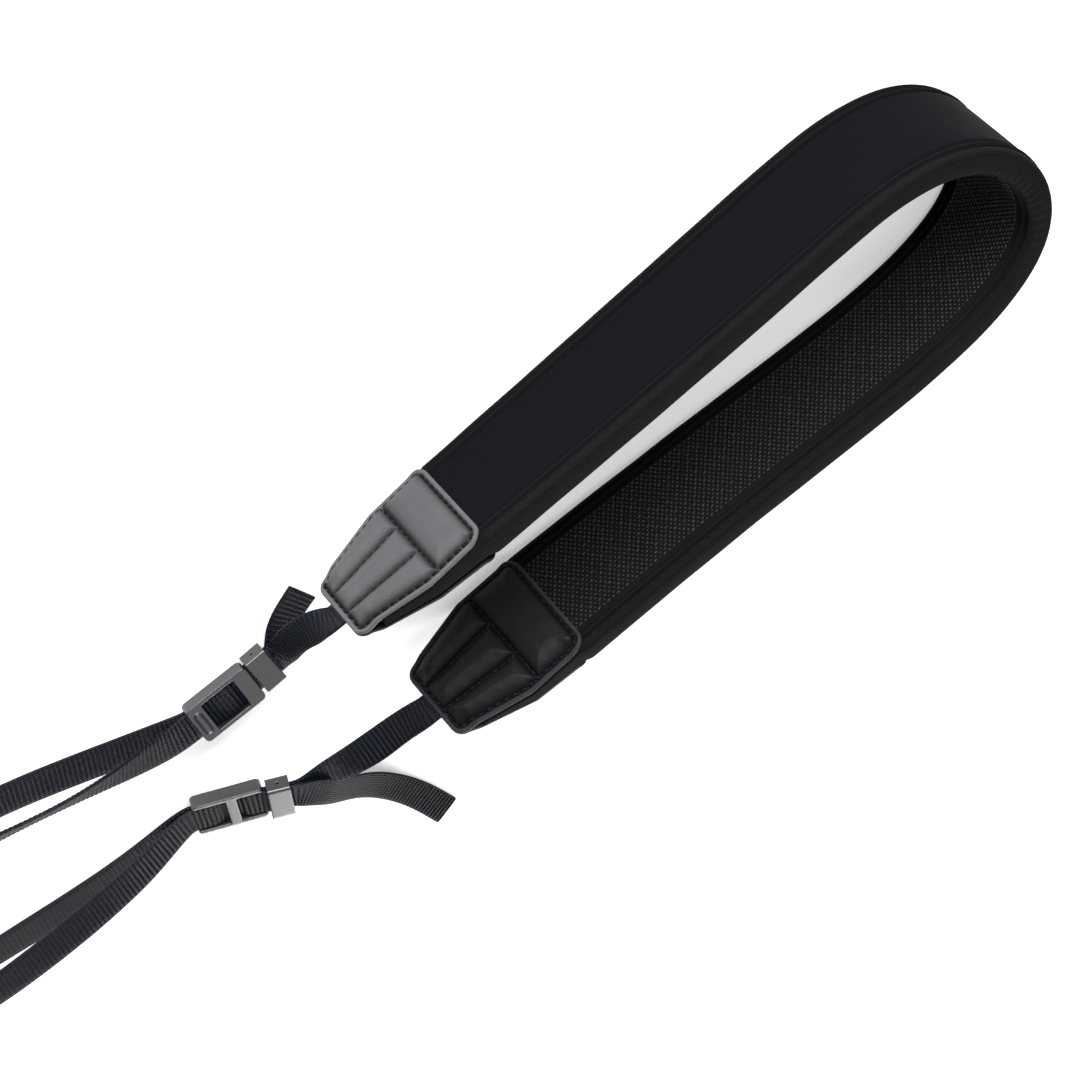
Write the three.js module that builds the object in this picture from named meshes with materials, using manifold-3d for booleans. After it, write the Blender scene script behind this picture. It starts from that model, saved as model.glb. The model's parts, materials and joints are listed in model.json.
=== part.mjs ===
// A camera neck strap, resting on the long lower edge of its padded band.
//
// Frame: millimetres, +Z up. The band is bent into a hairpin whose bend points to -X. Both of its
// runs go out to +X: the front run, at -Y, turns its smooth outer face to -Y, and the back run, at
// +Y, shows its non-slip inner face to -Y. A leather tab closes each end, and from each tab a narrow
// webbing strap twists down to the table and runs through a keeper and a slide buckle, out round a
// camera loop, and back through both to a free tail.

import * as THREE from 'three';
import { mergeVertices } from 'three/addons/utils/BufferGeometryUtils.js';
import Module from 'manifold-3d';

const wasm = await Module();
wasm.setup();

// ---- driving dimensions ---------------------------------------------------------------------

const GAP = 0.3; // air between pieces that touch

const BAND = { width: 41, thickness: 8.8, edgeRadius: 2.4, border: 4.5, steps: 40 };
const PANEL = { thickness: 1.2, proud: 0.2 };
const TAB = {
  length: 44, // from the wide seam to the narrow end
  crossSeam: 15, // from the wide seam to the seam across the tab
  straight: 19, // stretch of full width before the taper
  wideHalf: 19,
  narrowHalf: 13,
  wideGapHalf: 4, // half the space between the two leaves at the wide seam
  narrowGapHalf: 0.9,
  leather: 1.1,
  puff: 1.0,
  flutes: 3,
  rows: 8,
  columns: 9,
};
const WEDGE = { overlap: 1, length: 36, wideHalf: 19.6, narrowHalf: 14, edgeRadius: 0.9 };
const WEBBING = { width: 9.8, thickness: 1.2, tuckedIn: 6.5, straightOut: 3.5 };
const LAYER_PITCH = WEBBING.thickness + GAP; // between two layers of webbing
const BUCKLE = {
  length: 21.6,
  width: 13.2,
  height: 4.8,
  corner: 1.6,
  plate: 1.4,
  windowLength: 11.4,
  windowWidth: 10.4,
  windowCorner: 0.3,
  bar: { length: 3.4, thickness: 1.0, offset: -1 },
  lug: { length: 8.4, width: 2.6, groove: 0.45, depth: 0.4 },
};
const KEEPER = {
  length: 7,
  width: 13.2,
  height: 5.6,
  corner: 0.8,
  openWidth: 10.8,
  openHeight: 3.9,
  pinHole: 0.9,
};

// The band's middle line, from the front tab's narrow end round the bend to the back tab's.
// lean is how far the upper edge leans outwards, in degrees.
const BAND_ROWS = [
  { x: 56, y: -37.5, lean: 6 },
  { x: 12, y: -35, lean: 6 },
  { x: -30, y: -32.5, lean: 3 },
  { x: -70, y: -30.5, lean: 1 },
  { x: -106, y: -29, lean: 0 },
  { x: -137, y: -28, lean: 0 },
  { x: -159.5, y: -20.5, lean: 0 },
  { x: -173, y: -5, lean: 0 },
  { x: -176.5, y: 13, lean: 0 },
  { x: -171, y: 30, lean: 1 },
  { x: -153, y: 41, lean: 1 },
  { x: -126, y: 43, lean: 2 },
  { x: -92, y: 39, lean: 3 },
  { x: -50, y: 32.5, lean: 5 },
  { x: -12, y: 28, lean: 8 },
  { x: 12, y: 25.5, lean: 11 },
  { x: 57, y: 21.5, lean: 12 },
];

// Where each buckle lies: turn, pitch and roll are in degrees, about Z, Y and X. Its keeper lies
// back along it towards the tab, moved a little across it and up, and turned and rolled a little.
const HARDWARE = {
  front: {
    buckle: { x: 98.7, y: -26.1, z: 5.2, turn: -7, pitch: 0, roll: 16 },
    keeper: { back: 15, across: -0.4, up: 0, turn: 3, roll: -4 },
    faceDown: false,
    tailOnTop: false,
  },
  back: {
    buckle: { x: 121, y: 8.3, z: 6.4, turn: -21, pitch: 18.5, roll: -3 },
    keeper: { back: 15.2, across: 0.6, up: 0.6, turn: -3, roll: 0 },
    faceDown: true,
    tailOnTop: true,
  },
};

// Free stretches of the webbing's middle line. turn and tilt give the direction of its width:
// turn about Z away from +Y, and tilt up from the table, in degrees.
const WEBBING_ROWS = {
  front: {
    fromTab: [
      { x: 65, y: -36.6, z: 16.6, turn: 0, tilt: 70 },
      { x: 71.5, y: -31.2, z: 10, turn: -2, tilt: 38 },
    ],
    loop: [
      { x: 118, y: -30, z: 6.6, turn: -18, tilt: 10 },
      { x: 128, y: -36, z: 9, turn: -26, tilt: -8 },
      { x: 138, y: -42, z: 11, turn: -28, tilt: -24 },
      { x: 150, y: -48.5, z: 12.4, turn: -27, tilt: -36 },
      { x: 165, y: -56, z: 12.6, turn: -26, tilt: -36 },
      { x: 182, y: -63, z: 11.6, turn: -24, tilt: -24 },
      { x: 197, y: -68, z: 10, turn: -20, tilt: -12 },
      { x: 205, y: -70.5, z: 7.4, turn: -18, tilt: -6 },
      { x: 205, y: -70.5, z: 3.4, turn: -18, tilt: 0 },
      { x: 197, y: -69, z: 1.6, turn: -20, tilt: 4 },
      { x: 182, y: -65, z: 1.9, turn: -24, tilt: 10 },
      { x: 163, y: -58, z: 2.4, turn: -28, tilt: 14 },
      { x: 145, y: -47.5, z: 2.6, turn: -29, tilt: 16 },
      { x: 130, y: -38, z: 2.8, turn: -27, tilt: 17 },
      { x: 119, y: -31.5, z: 3.2, turn: -18, tilt: 18 },
    ],
    tail: [
      { x: 73, y: -28.6, z: 2.2, turn: 8, tilt: 10 },
      { x: 67.5, y: -31.6, z: 1.8, turn: 16, tilt: 8 },
      { x: 60, y: -34.2, z: 2.0, turn: 16, tilt: 12 },
    ],
  },
  back: {
    fromTab: [
      { x: 67, y: 23, z: 17, turn: -2, tilt: 72 },
      { x: 77, y: 24, z: 15, turn: -4, tilt: 52 },
      { x: 87, y: 23.4, z: 13, turn: -12, tilt: 24 },
      { x: 95, y: 20.4, z: 12, turn: -20, tilt: 4 },
    ],
    loop: [
      { x: 139, y: 3.8, z: 1.6, turn: -16, tilt: 1 },
      { x: 150, y: 2.8, z: 1.9, turn: -14, tilt: 6 },
      { x: 164, y: -0.2, z: 2.3, turn: -15, tilt: 10 },
      { x: 180, y: -4.6, z: 2.2, turn: -15, tilt: 10 },
      { x: 200, y: -10, z: 1.5, turn: -15, tilt: 7 },
      { x: 220, y: -15.2, z: 0.9, turn: -14, tilt: 2 },
      { x: 233, y: -18.4, z: 2, turn: -14, tilt: 2 },
      { x: 238, y: -19.6, z: 6.4, turn: -14, tilt: 3 },
      { x: 233, y: -18.4, z: 11, turn: -14, tilt: 7 },
      { x: 221, y: -15.6, z: 13.6, turn: -14, tilt: 12 },
      { x: 204, y: -11.8, z: 14.6, turn: -14, tilt: 18 },
      { x: 185, y: -7.2, z: 13.4, turn: -14, tilt: 22 },
      { x: 168, y: -2.9, z: 11.2, turn: -14, tilt: 22 },
      { x: 151, y: 1.4, z: 8, turn: -13, tilt: 14 },
      { x: 139, y: 3.2, z: 4.8, turn: -14, tilt: 4 },
    ],
    tail: [
      { x: 98, y: 24, z: 14, turn: -38, tilt: -2 },
      { x: 95.8, y: 31.5, z: 11.2, turn: -56, tilt: -2 },
      { x: 93, y: 39.5, z: 7.2, turn: -62, tilt: 0 },
      { x: 89, y: 48.5, z: 3.6, turn: -65, tilt: 0 },
      { x: 84.9, y: 60, z: 1.2, turn: -70, tilt: 0 },
      { x: 81.3, y: 72.5, z: 0.8, turn: -77, tilt: 2 },
      { x: 79.2, y: 87.5, z: 1.2, turn: -84, tilt: 6 },
    ],
  },
};

const radians = THREE.MathUtils.degToRad;
const degrees = THREE.MathUtils.radToDeg;
const UP = new THREE.Vector3(0, 0, 1);

// ---- curves led by a table ------------------------------------------------------------------

/** A smooth curve led by the x, y and z columns of a table. It starts and ends on the end rows. */
class TableCurve extends THREE.Curve {
  constructor(rows) {
    super();
    this.rows = rows;
    this.arcLengthDivisions = 600;
  }

  /** The cubic B-spline through one column, at t from 0 to 1. */
  column(name, t) {
    const last = this.rows.length - 1;
    const value = (i) => {
      if (i < 0) return 2 * this.rows[0][name] - this.rows[1][name];
      if (i > last) return 2 * this.rows[last][name] - this.rows[last - 1][name];
      return this.rows[i][name];
    };
    const row = Math.min(Math.floor(t * last), last - 1);
    const f = t * last - row;
    const weights = [(1 - f) ** 3, 3 * f ** 3 - 6 * f ** 2 + 4, -3 * f ** 3 + 3 * f ** 2 + 3 * f + 1, f ** 3];
    return weights.reduce((sum, weight, k) => sum + (weight / 6) * value(row - 1 + k), 0);
  }

  getPoint(t, target = new THREE.Vector3()) {
    return target.set(this.column('x', t), this.column('y', t), this.column('z', t));
  }
}

const bandCurve = new TableCurve(BAND_ROWS.map((row) => ({ ...row, z: 0 })));
const bandLength = bandCurve.getLength();

/** The band's place at a distance along its middle line: along, out (its thickness) and rise. */
function bandFrame(distance) {
  const u = THREE.MathUtils.clamp(distance / bandLength, 0, 1);
  const lean = radians(bandCurve.column('lean', bandCurve.getUtoTmapping(u)));
  const along = bandCurve.getTangentAt(u);
  const level = new THREE.Vector3(-along.y, along.x, 0);
  const out = level.clone().multiplyScalar(Math.cos(lean)).addScaledVector(UP, -Math.sin(lean));
  const rise = UP.clone().multiplyScalar(Math.cos(lean)).addScaledVector(level, Math.sin(lean));
  const { width, thickness, edgeRadius } = BAND;
  const standing = (width / 2 - edgeRadius) * Math.cos(lean);
  const leaning = (thickness / 2 - edgeRadius) * Math.abs(Math.sin(lean));
  const centre = bandCurve.getPointAt(u).setZ(standing + leaning + edgeRadius);
  return { centre, along, out, rise };
}

/** A point of the band: out is across its thickness and rise up its width. */
function bandPoint(distance, out, rise) {
  const frame = bandFrame(distance);
  return frame.centre.addScaledVector(frame.out, out).addScaledVector(frame.rise, rise);
}

// ---- closed solids --------------------------------------------------------------------------

/** A geometry from vertices and triangles. */
function geometryOf(points, triangles) {
  const geometry = new THREE.BufferGeometry();
  geometry.setAttribute('position', new THREE.Float32BufferAttribute(points.flatMap((p) => p.toArray()), 3));
  geometry.setIndex(triangles.flat());
  return geometry;
}

/** The closed solid through a row of rings that all repeat one outline, anticlockwise from its end.
 *  crossed picks the other diagonal of every face, so that two skins lie snugly on each other. */
function skin(rings, outline, crossed = false) {
  const count = outline.length;
  const triangles = [];
  for (let ring = 0; ring < rings.length - 1; ring++) {
    for (let i = 0; i < count; i++) {
      const a = ring * count + i;
      const b = ring * count + ((i + 1) % count);
      if (crossed) triangles.push([a, b, a + count], [b, b + count, a + count]);
      else triangles.push([a, b, b + count], [a, b + count, a + count]);
    }
  }
  const lastRing = (rings.length - 1) * count;
  for (const [a, b, c] of THREE.ShapeUtils.triangulateShape(outline, [])) {
    triangles.push([a, c, b], [a + lastRing, b + lastRing, c + lastRing]);
  }
  return geometryOf(rings.flat(), triangles);
}

/** A closed plate between two faces, each a function of (i, j) on a grid of rows and columns. */
function plate(outerFace, innerFace, rows, columns) {
  const points = [];
  const count = (rows + 1) * (columns + 1);
  for (const face of [outerFace, innerFace]) {
    for (let i = 0; i <= rows; i++) {
      for (let j = 0; j <= columns; j++) points.push(face(i / rows, j / columns));
    }
  }
  const at = (i, j) => i * (columns + 1) + j;
  const triangles = [];
  const quad = (a, b, c, d) => triangles.push([a, b, c], [a, c, d]);
  for (let i = 0; i < rows; i++) {
    for (let j = 0; j < columns; j++) {
      quad(at(i, j), at(i + 1, j), at(i + 1, j + 1), at(i, j + 1));
      quad(at(i, j) + count, at(i, j + 1) + count, at(i + 1, j + 1) + count, at(i + 1, j) + count);
    }
    quad(at(i, 0), at(i, 0) + count, at(i + 1, 0) + count, at(i + 1, 0));
    quad(at(i, columns), at(i + 1, columns), at(i + 1, columns) + count, at(i, columns) + count);
  }
  for (let j = 0; j < columns; j++) {
    quad(at(0, j), at(0, j + 1), at(0, j + 1) + count, at(0, j) + count);
    quad(at(rows, j), at(rows, j) + count, at(rows, j + 1) + count, at(rows, j + 1));
  }
  return geometryOf(points, triangles);
}

/** The same solid with every face turned round, for one laid out the other way. */
function turnedInsideOut(geometry) {
  const index = geometry.getIndex().array;
  for (let i = 0; i < index.length; i += 3) [index[i], index[i + 1]] = [index[i + 1], index[i]];
  return geometry;
}

/** A closed geometry as a manifold solid. */
function solidOf(geometry) {
  const bare = geometry.clone();
  bare.deleteAttribute('normal');
  bare.deleteAttribute('uv');
  const merged = mergeVertices(bare, 1e-4);
  return new wasm.Manifold(new wasm.Mesh({
    numProp: 3,
    vertProperties: new Float32Array(merged.getAttribute('position').array),
    triVerts: new Uint32Array(merged.getIndex().array),
  }));
}

/** A manifold solid as a geometry. */
function geometryFrom(solid) {
  const mesh = solid.getMesh();
  const geometry = new THREE.BufferGeometry();
  geometry.setAttribute('position', new THREE.Float32BufferAttribute(mesh.vertProperties, 3));
  geometry.setIndex([...mesh.triVerts]);
  return geometry;
}

/** The outline of a rounded rectangle, anticlockwise, each corner an arc of a few steps. */
function roundedOutline(halfX, halfY, radius, cornerSteps) {
  const points = [];
  for (let corner = 0; corner < 4; corner++) {
    const signX = corner === 0 || corner === 3 ? 1 : -1;
    const signY = corner < 2 ? 1 : -1;
    for (let step = 0; step <= cornerSteps; step++) {
      const angle = (corner + step / cornerSteps) * (Math.PI / 2);
      points.push(new THREE.Vector2(
        signX * (halfX - radius) + radius * Math.cos(angle),
        signY * (halfY - radius) + radius * Math.sin(angle),
      ));
    }
  }
  return points;
}

/** The outline of a plain rectangle, anticlockwise. */
function rectangleOutline(halfX, halfY) {
  return [[1, 1], [-1, 1], [-1, -1], [1, -1]].map(([x, y]) => new THREE.Vector2(x * halfX, y * halfY));
}

/** A rounded bar or block, extruded along Z and centred on the middle of its height. */
function roundedBlock(length, width, height, corner, cornerSteps = 3) {
  const shape = new THREE.Shape(roundedOutline(length / 2, width / 2, corner, cornerSteps));
  const geometry = new THREE.ExtrudeGeometry(shape, { depth: height, bevelEnabled: false });
  return geometry.translate(0, 0, -height / 2);
}

// ---- the padded band ------------------------------------------------------------------------

const seamFront = TAB.length;
const seamBack = bandLength - TAB.length;

/** The distances of the band's sections between two ends; every piece shares the ones it spans. */
function sectionsBetween(from, to) {
  const shared = Array.from({ length: BAND.steps - 1 }, (_, i) => (
    THREE.MathUtils.lerp(seamFront, seamBack, (i + 1) / BAND.steps)));
  return [from, ...shared.filter((distance) => distance > from && distance < to), to];
}

/** The solid of one outline carried along the band between two distances. */
function carried(outline, from, to, crossed = false) {
  const rings = sectionsBetween(from, to)
    .map((distance) => outline.map((p) => bandPoint(distance, p.x, p.y)));
  return skin(rings, outline, crossed);
}

/** The pad's section: a rounded bar with a shallow bed for a panel on each face. */
function padOutline() {
  const halfOut = BAND.thickness / 2;
  const bed = halfOut - PANEL.thickness - GAP + PANEL.proud;
  const bedRise = BAND.width / 2 - BAND.border;
  const corners = roundedOutline(halfOut, BAND.width / 2, BAND.edgeRadius, 3);
  const half = corners.length / 2;
  const bedOn = (side) => [[halfOut, -bedRise], [bed, -bedRise], [bed, bedRise], [halfOut, bedRise]]
    .map(([out, rise]) => new THREE.Vector2(side * out, side * rise));
  return [...bedOn(1), ...corners.slice(0, half), ...bedOn(-1), ...corners.slice(half)];
}

/** Half the space between a tab's two leaves, at a distance from its wide seam. */
function leafGapHalf(fromSeam) {
  return THREE.MathUtils.lerp(TAB.wideGapHalf, TAB.narrowGapHalf, fromSeam / TAB.length);
}

/** A width that keeps its wide value along the tab's straight stretch and then tapers. */
function taperedHalf(wide, narrow, fromSeam) {
  const part = THREE.MathUtils.clamp((fromSeam - TAB.straight) / (TAB.length - TAB.straight), 0, 1);
  return THREE.MathUtils.lerp(wide, narrow, part);
}

/** The pad's thin end under the leather; toEnd is +1 or -1, the way it points along the band. */
function padWedge(seam, toEnd) {
  const steps = 9;
  const rings = [];
  let outline;
  for (let step = 0; step <= steps; step++) {
    const fromSeam = THREE.MathUtils.lerp(-WEDGE.overlap, WEDGE.length, step / steps);
    const halfOut = leafGapHalf(Math.max(fromSeam, 0)) - GAP;
    const halfRise = taperedHalf(WEDGE.wideHalf, WEDGE.narrowHalf, fromSeam);
    outline = roundedOutline(halfOut, halfRise, Math.min(WEDGE.edgeRadius, halfOut * 0.9), 2);
    rings.push(outline.map((p) => bandPoint(seam + toEnd * fromSeam, p.x, p.y)));
  }
  const wedge = skin(rings, outline);
  return toEnd > 0 ? wedge : turnedInsideOut(wedge);
}

function padBody() {
  const bar = solidOf(carried(padOutline(), seamFront, seamBack));
  const ends = [padWedge(seamFront, -1), padWedge(seamBack, 1)];
  return geometryFrom(ends.reduce((pad, wedge) => pad.add(solidOf(wedge)), bar));
}

/** A panel on one face of the band; side is +1 outside and -1 inside. */
function bandPanel(side) {
  const top = BAND.thickness / 2 + PANEL.proud;
  const middle = side * (top - PANEL.thickness / 2);
  const halfRise = BAND.width / 2 - BAND.border - GAP;
  const outline = roundedOutline(PANEL.thickness / 2, halfRise, 0.4, 1)
    .map((p) => new THREE.Vector2(middle + p.x, p.y));
  const inset = WEDGE.overlap + GAP;
  return carried(outline, seamFront + inset, seamBack - inset, true);
}

// ---- the leather tabs -----------------------------------------------------------------------

/** How far a leaf swells at a place on it: one pad across the wide end, then flutes side by side. */
function leafPuff(fromSeam, across) {
  const rim = 0.86; // the part of the half width inside the stitched rim
  if (Math.abs(across) >= rim) return 0;
  const part = (across / rim + 1) / 2;
  if (fromSeam < TAB.crossSeam) {
    return TAB.puff * Math.sin((Math.PI * fromSeam) / TAB.crossSeam) * Math.sin(Math.PI * part) ** 0.4;
  }
  const alongFlute = (fromSeam - TAB.crossSeam) / (TAB.length - TAB.crossSeam);
  return TAB.puff * Math.abs(Math.sin(Math.PI * part * TAB.flutes)) * Math.sin(Math.PI * alongFlute) ** 0.5;
}

/** One leather leaf: side is +1 on the band's outside, and toEnd is the way the tab points. */
function tabLeaf(seam, toEnd, side) {
  const face = (lift, puffed) => (i, j) => {
    const fromSeam = THREE.MathUtils.lerp(GAP, TAB.length, i);
    const across = 2 * j - 1;
    const swell = puffed ? leafPuff(fromSeam, across) : 0;
    const out = side * (leafGapHalf(fromSeam) + lift + swell);
    const rise = across * taperedHalf(TAB.wideHalf, TAB.narrowHalf, fromSeam);
    return bandPoint(seam + toEnd * fromSeam, out, rise);
  };
  const leaf = plate(face(TAB.leather, true), face(0, false), TAB.rows, TAB.columns);
  return side * toEnd > 0 ? turnedInsideOut(leaf) : leaf;
}

// ---- buckles and keepers --------------------------------------------------------------------
// In their own frame X runs along the webbing, out to the camera loop, Y is its width and Z the face.

/** Where a side's buckle lies; one that lies face down is turned over about X. */
function bucklePlace({ buckle, faceDown }) {
  const place = new THREE.Matrix4().makeRotationFromEuler(
    new THREE.Euler(radians(buckle.roll), radians(buckle.pitch), radians(buckle.turn), 'ZYX'),
  ).setPosition(buckle.x, buckle.y, buckle.z);
  return faceDown ? place.multiply(new THREE.Matrix4().makeRotationX(Math.PI)) : place;
}

/** Where a side's keeper lies: behind its buckle, its opening in line with the two layers. */
function keeperPlace(side) {
  const { back, across, up, turn, roll } = side.keeper;
  const flip = side.faceDown ? -1 : 1;
  return bucklePlace(side)
    .multiply(new THREE.Matrix4().makeTranslation(-back, flip * across, layerLift(0.5) + flip * up))
    .multiply(new THREE.Matrix4().makeRotationZ(flip * radians(turn)))
    .multiply(new THREE.Matrix4().makeRotationX(radians(roll)));
}

/** The height of a layer's middle in a buckle; layer 0 lies on the plate and layer 1 under it. */
function layerLift(layer) {
  return BUCKLE.height / 2 - BUCKLE.plate - GAP - WEBBING.thickness / 2 - layer * LAYER_PITCH;
}

function buckleShape() {
  const { length, width, height, corner, plate: plateHeight, windowLength, windowWidth, windowCorner, bar, lug } = BUCKLE;
  const frame = solidOf(roundedBlock(length, width, height, corner));
  const under = new THREE.BoxGeometry(length + 2, windowWidth, height).translate(0, 0, -plateHeight);
  const window = roundedBlock(windowLength, windowWidth, height * 2, windowCorner, 2);
  const barBlock = new THREE.BoxGeometry(bar.length, windowWidth + 1, bar.thickness)
    .translate(bar.offset, 0, (bar.thickness - height) / 2);
  const lugX = (length + windowLength) / 4;
  const lugCut = (shrink) => solidOf(
    roundedBlock(lug.width - shrink, lug.length - shrink, lug.depth * 2, (lug.width - shrink) / 2 - 0.02)
      .translate(lugX, 0, height / 2),
  );
  const grooved = lugCut(0).subtract(lugCut(2 * lug.groove));
  return geometryFrom(frame.subtract(solidOf(under)).subtract(solidOf(window)).add(solidOf(barBlock)).subtract(grooved));
}

function keeperShape() {
  const { length, width, height, corner, openWidth, openHeight, pinHole } = KEEPER;
  const block = roundedBlock(height, width, length, corner).rotateY(Math.PI / 2);
  const opening = new THREE.BoxGeometry(length + 2, openWidth, openHeight);
  const pin = new THREE.CylinderGeometry(pinHole / 2, pinHole / 2, width + 2, 8);
  return geometryFrom(solidOf(block).subtract(solidOf(opening)).subtract(solidOf(pin)));
}

// ---- the webbing straps ---------------------------------------------------------------------

/** The unit vector of a row's turn and tilt. */
function widthDirection(turn, tilt) {
  const level = Math.cos(radians(tilt));
  return new THREE.Vector3(-Math.sin(radians(turn)) * level, Math.cos(radians(turn)) * level, Math.sin(radians(tilt)));
}

/** Rows of webbing through a placed piece, from its stations { along, lift }. */
function rowsThrough(place, stations) {
  const width = new THREE.Vector3().setFromMatrixColumn(place, 1);
  width.multiplyScalar(Math.sign(width.y));
  const turn = degrees(Math.atan2(-width.x, width.y));
  const tilt = degrees(Math.asin(width.z));
  return stations.map(({ along, lift }) => {
    const { x, y, z } = new THREE.Vector3(along, 0, lift).applyMatrix4(place);
    return { x, y, z, turn, tilt };
  });
}

/** The stations of one webbing layer in a buckle, going out to the loop. */
function buckleStations(layer) {
  const under = layerLift(layer);
  const over = under + 1.15; // the hump over the bar
  const bar = BUCKLE.bar.offset;
  return [
    { along: -8.8, lift: under },
    { along: -6.8, lift: under },
    { along: -4.9, lift: under },
    { along: bar - 1.9, lift: over },
    { along: bar, lift: over },
    { along: bar + 1.9, lift: over },
    { along: 4.2, lift: under },
    { along: 6.6, lift: under },
    { along: 9, lift: under },
    { along: 12.4, lift: under },
  ];
}

/** The stations of one layer in a keeper; layer 0 lies nearer its buckle's plate. */
function keeperStations(layer) {
  const lift = (0.5 - layer) * LAYER_PITCH;
  return [{ along: -6.8, lift }, { along: -4, lift }, { along: -1, lift }, { along: 1.8, lift }];
}

/** All the rows of one strap, from inside its tab round the loop to the end of its tail. */
function webbingRows(name) {
  const side = HARDWARE[name];
  const free = WEBBING_ROWS[name];
  const out = side.faceDown === side.tailOnTop ? 0 : 1; // the layer that goes out to the loop
  const outward = (layer) => [
    ...rowsThrough(keeperPlace(side), keeperStations(layer)),
    ...rowsThrough(bucklePlace(side), buckleStations(layer)),
  ];
  const tabEnd = bandFrame(name === 'front' ? 0 : bandLength);
  const inward = name === 'front' ? 1 : -1;
  const tilt = degrees(Math.atan2(tabEnd.rise.z, tabEnd.rise.y));
  const sewn = [WEBBING.tuckedIn, 0, -WEBBING.straightOut].map((distance) => {
    const { x, y, z } = tabEnd.centre.clone().addScaledVector(tabEnd.along, inward * distance);
    return { x, y, z, turn: 0, tilt };
  });
  return [...sewn, ...free.fromTab, ...outward(out), ...free.loop, ...outward(1 - out).reverse(), ...free.tail];
}

/** A flat strap of webbing along its rows. */
function webbingStrap(rows, steps) {
  const curve = new TableCurve(rows);
  const outline = rectangleOutline(WEBBING.width / 2, WEBBING.thickness / 2);
  const rings = [];
  for (let step = 0; step <= steps; step++) {
    const t = step / steps;
    const along = curve.getTangent(t);
    const width = widthDirection(curve.column('turn', t), curve.column('tilt', t));
    width.addScaledVector(along, -width.dot(along)).normalize();
    const face = along.clone().cross(width);
    const centre = curve.getPoint(t);
    rings.push(outline.map((p) => centre.clone().addScaledVector(width, p.x).addScaledVector(face, p.y)));
  }
  return skin(rings, outline);
}

// ---- materials and assembly -----------------------------------------------------------------

const COLOURS = {
  foam: { color: 0x26282c, roughness: 0.75 },
  smoothCloth: { color: 0x1c1e22, roughness: 0.55 },
  meshCloth: { color: 0x17181b, roughness: 0.9 },
  leather: { color: 0x2b2c2f, roughness: 0.45 },
  nylon: { color: 0x12151b, roughness: 0.7 },
  plastic: { color: 0x3a3b3e, roughness: 0.4 },
};

const strap = new THREE.Group();
strap.name = 'camera_neck_strap';

function addPiece(name, geometry, colour, place = new THREE.Matrix4()) {
  const mesh = new THREE.Mesh(geometry, new THREE.MeshStandardMaterial({ ...COLOURS[colour], metalness: 0 }));
  mesh.name = name;
  place.decompose(mesh.position, mesh.quaternion, mesh.scale);
  strap.add(mesh);
}

addPiece('pad_body', padBody(), 'foam');
addPiece('outer_panel', bandPanel(1), 'smoothCloth');
addPiece('grip_panel', bandPanel(-1), 'meshCloth');

for (const name of ['front', 'back']) {
  const seam = name === 'front' ? seamFront : seamBack;
  const toEnd = name === 'front' ? -1 : 1;
  addPiece(`${name}_tab_outer`, tabLeaf(seam, toEnd, 1), 'leather');
  addPiece(`${name}_tab_inner`, tabLeaf(seam, toEnd, -1), 'leather');
  addPiece(`${name}_buckle`, buckleShape(), 'plastic', bucklePlace(HARDWARE[name]));
  addPiece(`${name}_keeper`, keeperShape(), 'plastic', keeperPlace(HARDWARE[name]));
  const rows = webbingRows(name);
  addPiece(`${name}_webbing`, webbingStrap(rows, 2 * rows.length), 'nylon');
}

// The origin is under the middle of the whole strap, on the surface that it rests on.
const MIDDLE = { x: 29.22, y: 7.28 };
strap.position.set(-MIDDLE.x, -MIDDLE.y, 0);

export default strap;
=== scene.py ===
"""A camera neck strap: a padded band bent into a hairpin, stitched leather ends and buckled webbing."""

import json
import logging
import math
from collections.abc import Callable, Sequence
from dataclasses import dataclass, field
from enum import Enum

import bpy
import numpy as np
from mathutils import Matrix, Vector

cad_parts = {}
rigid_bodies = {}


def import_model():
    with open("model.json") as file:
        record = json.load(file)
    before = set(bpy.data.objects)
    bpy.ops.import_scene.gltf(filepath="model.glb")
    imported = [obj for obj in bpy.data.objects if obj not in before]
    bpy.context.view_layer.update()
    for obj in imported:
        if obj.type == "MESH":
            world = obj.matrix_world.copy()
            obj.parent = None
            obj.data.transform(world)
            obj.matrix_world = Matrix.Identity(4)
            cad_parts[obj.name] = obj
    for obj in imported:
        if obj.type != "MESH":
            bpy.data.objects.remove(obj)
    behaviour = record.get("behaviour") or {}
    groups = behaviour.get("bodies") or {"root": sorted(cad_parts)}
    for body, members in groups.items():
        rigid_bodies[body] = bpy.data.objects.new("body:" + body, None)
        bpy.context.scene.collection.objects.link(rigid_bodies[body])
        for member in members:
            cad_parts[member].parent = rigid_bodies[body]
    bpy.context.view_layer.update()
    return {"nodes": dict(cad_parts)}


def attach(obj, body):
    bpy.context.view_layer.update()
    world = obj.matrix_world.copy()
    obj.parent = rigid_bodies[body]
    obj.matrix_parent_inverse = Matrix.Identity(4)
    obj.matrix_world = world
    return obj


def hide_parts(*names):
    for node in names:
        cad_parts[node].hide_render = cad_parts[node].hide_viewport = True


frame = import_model()

log = logging.getLogger("strap")

Array = np.ndarray
Piece = bpy.types.Object
Mesh = bpy.types.Mesh
Material = bpy.types.Material
Tree = bpy.types.NodeTree
Node = bpy.types.Node
Socket = bpy.types.NodeSocket

MM = 0.001
UP = np.array([0.0, 0.0, 1.0])
MIDDLE = np.array([29.22, 7.28, 0.0])  # the strap's middle in the tables below, in mm
GAP = 0.3  # air between pieces that touch, in mm
BODY = "root"


class Side(Enum):
    """A face of the band."""

    OUTER = 1
    INNER = -1


class End(Enum):
    """One end of the strap; the value is the way its tab points along the band."""

    FRONT = -1
    BACK = 1

    @property
    def label(self) -> str:
        """The end's name, as its pieces carry it."""
        return self.name.lower()


# ---- curves led by a table ----------------------------------------------------------------------


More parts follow.
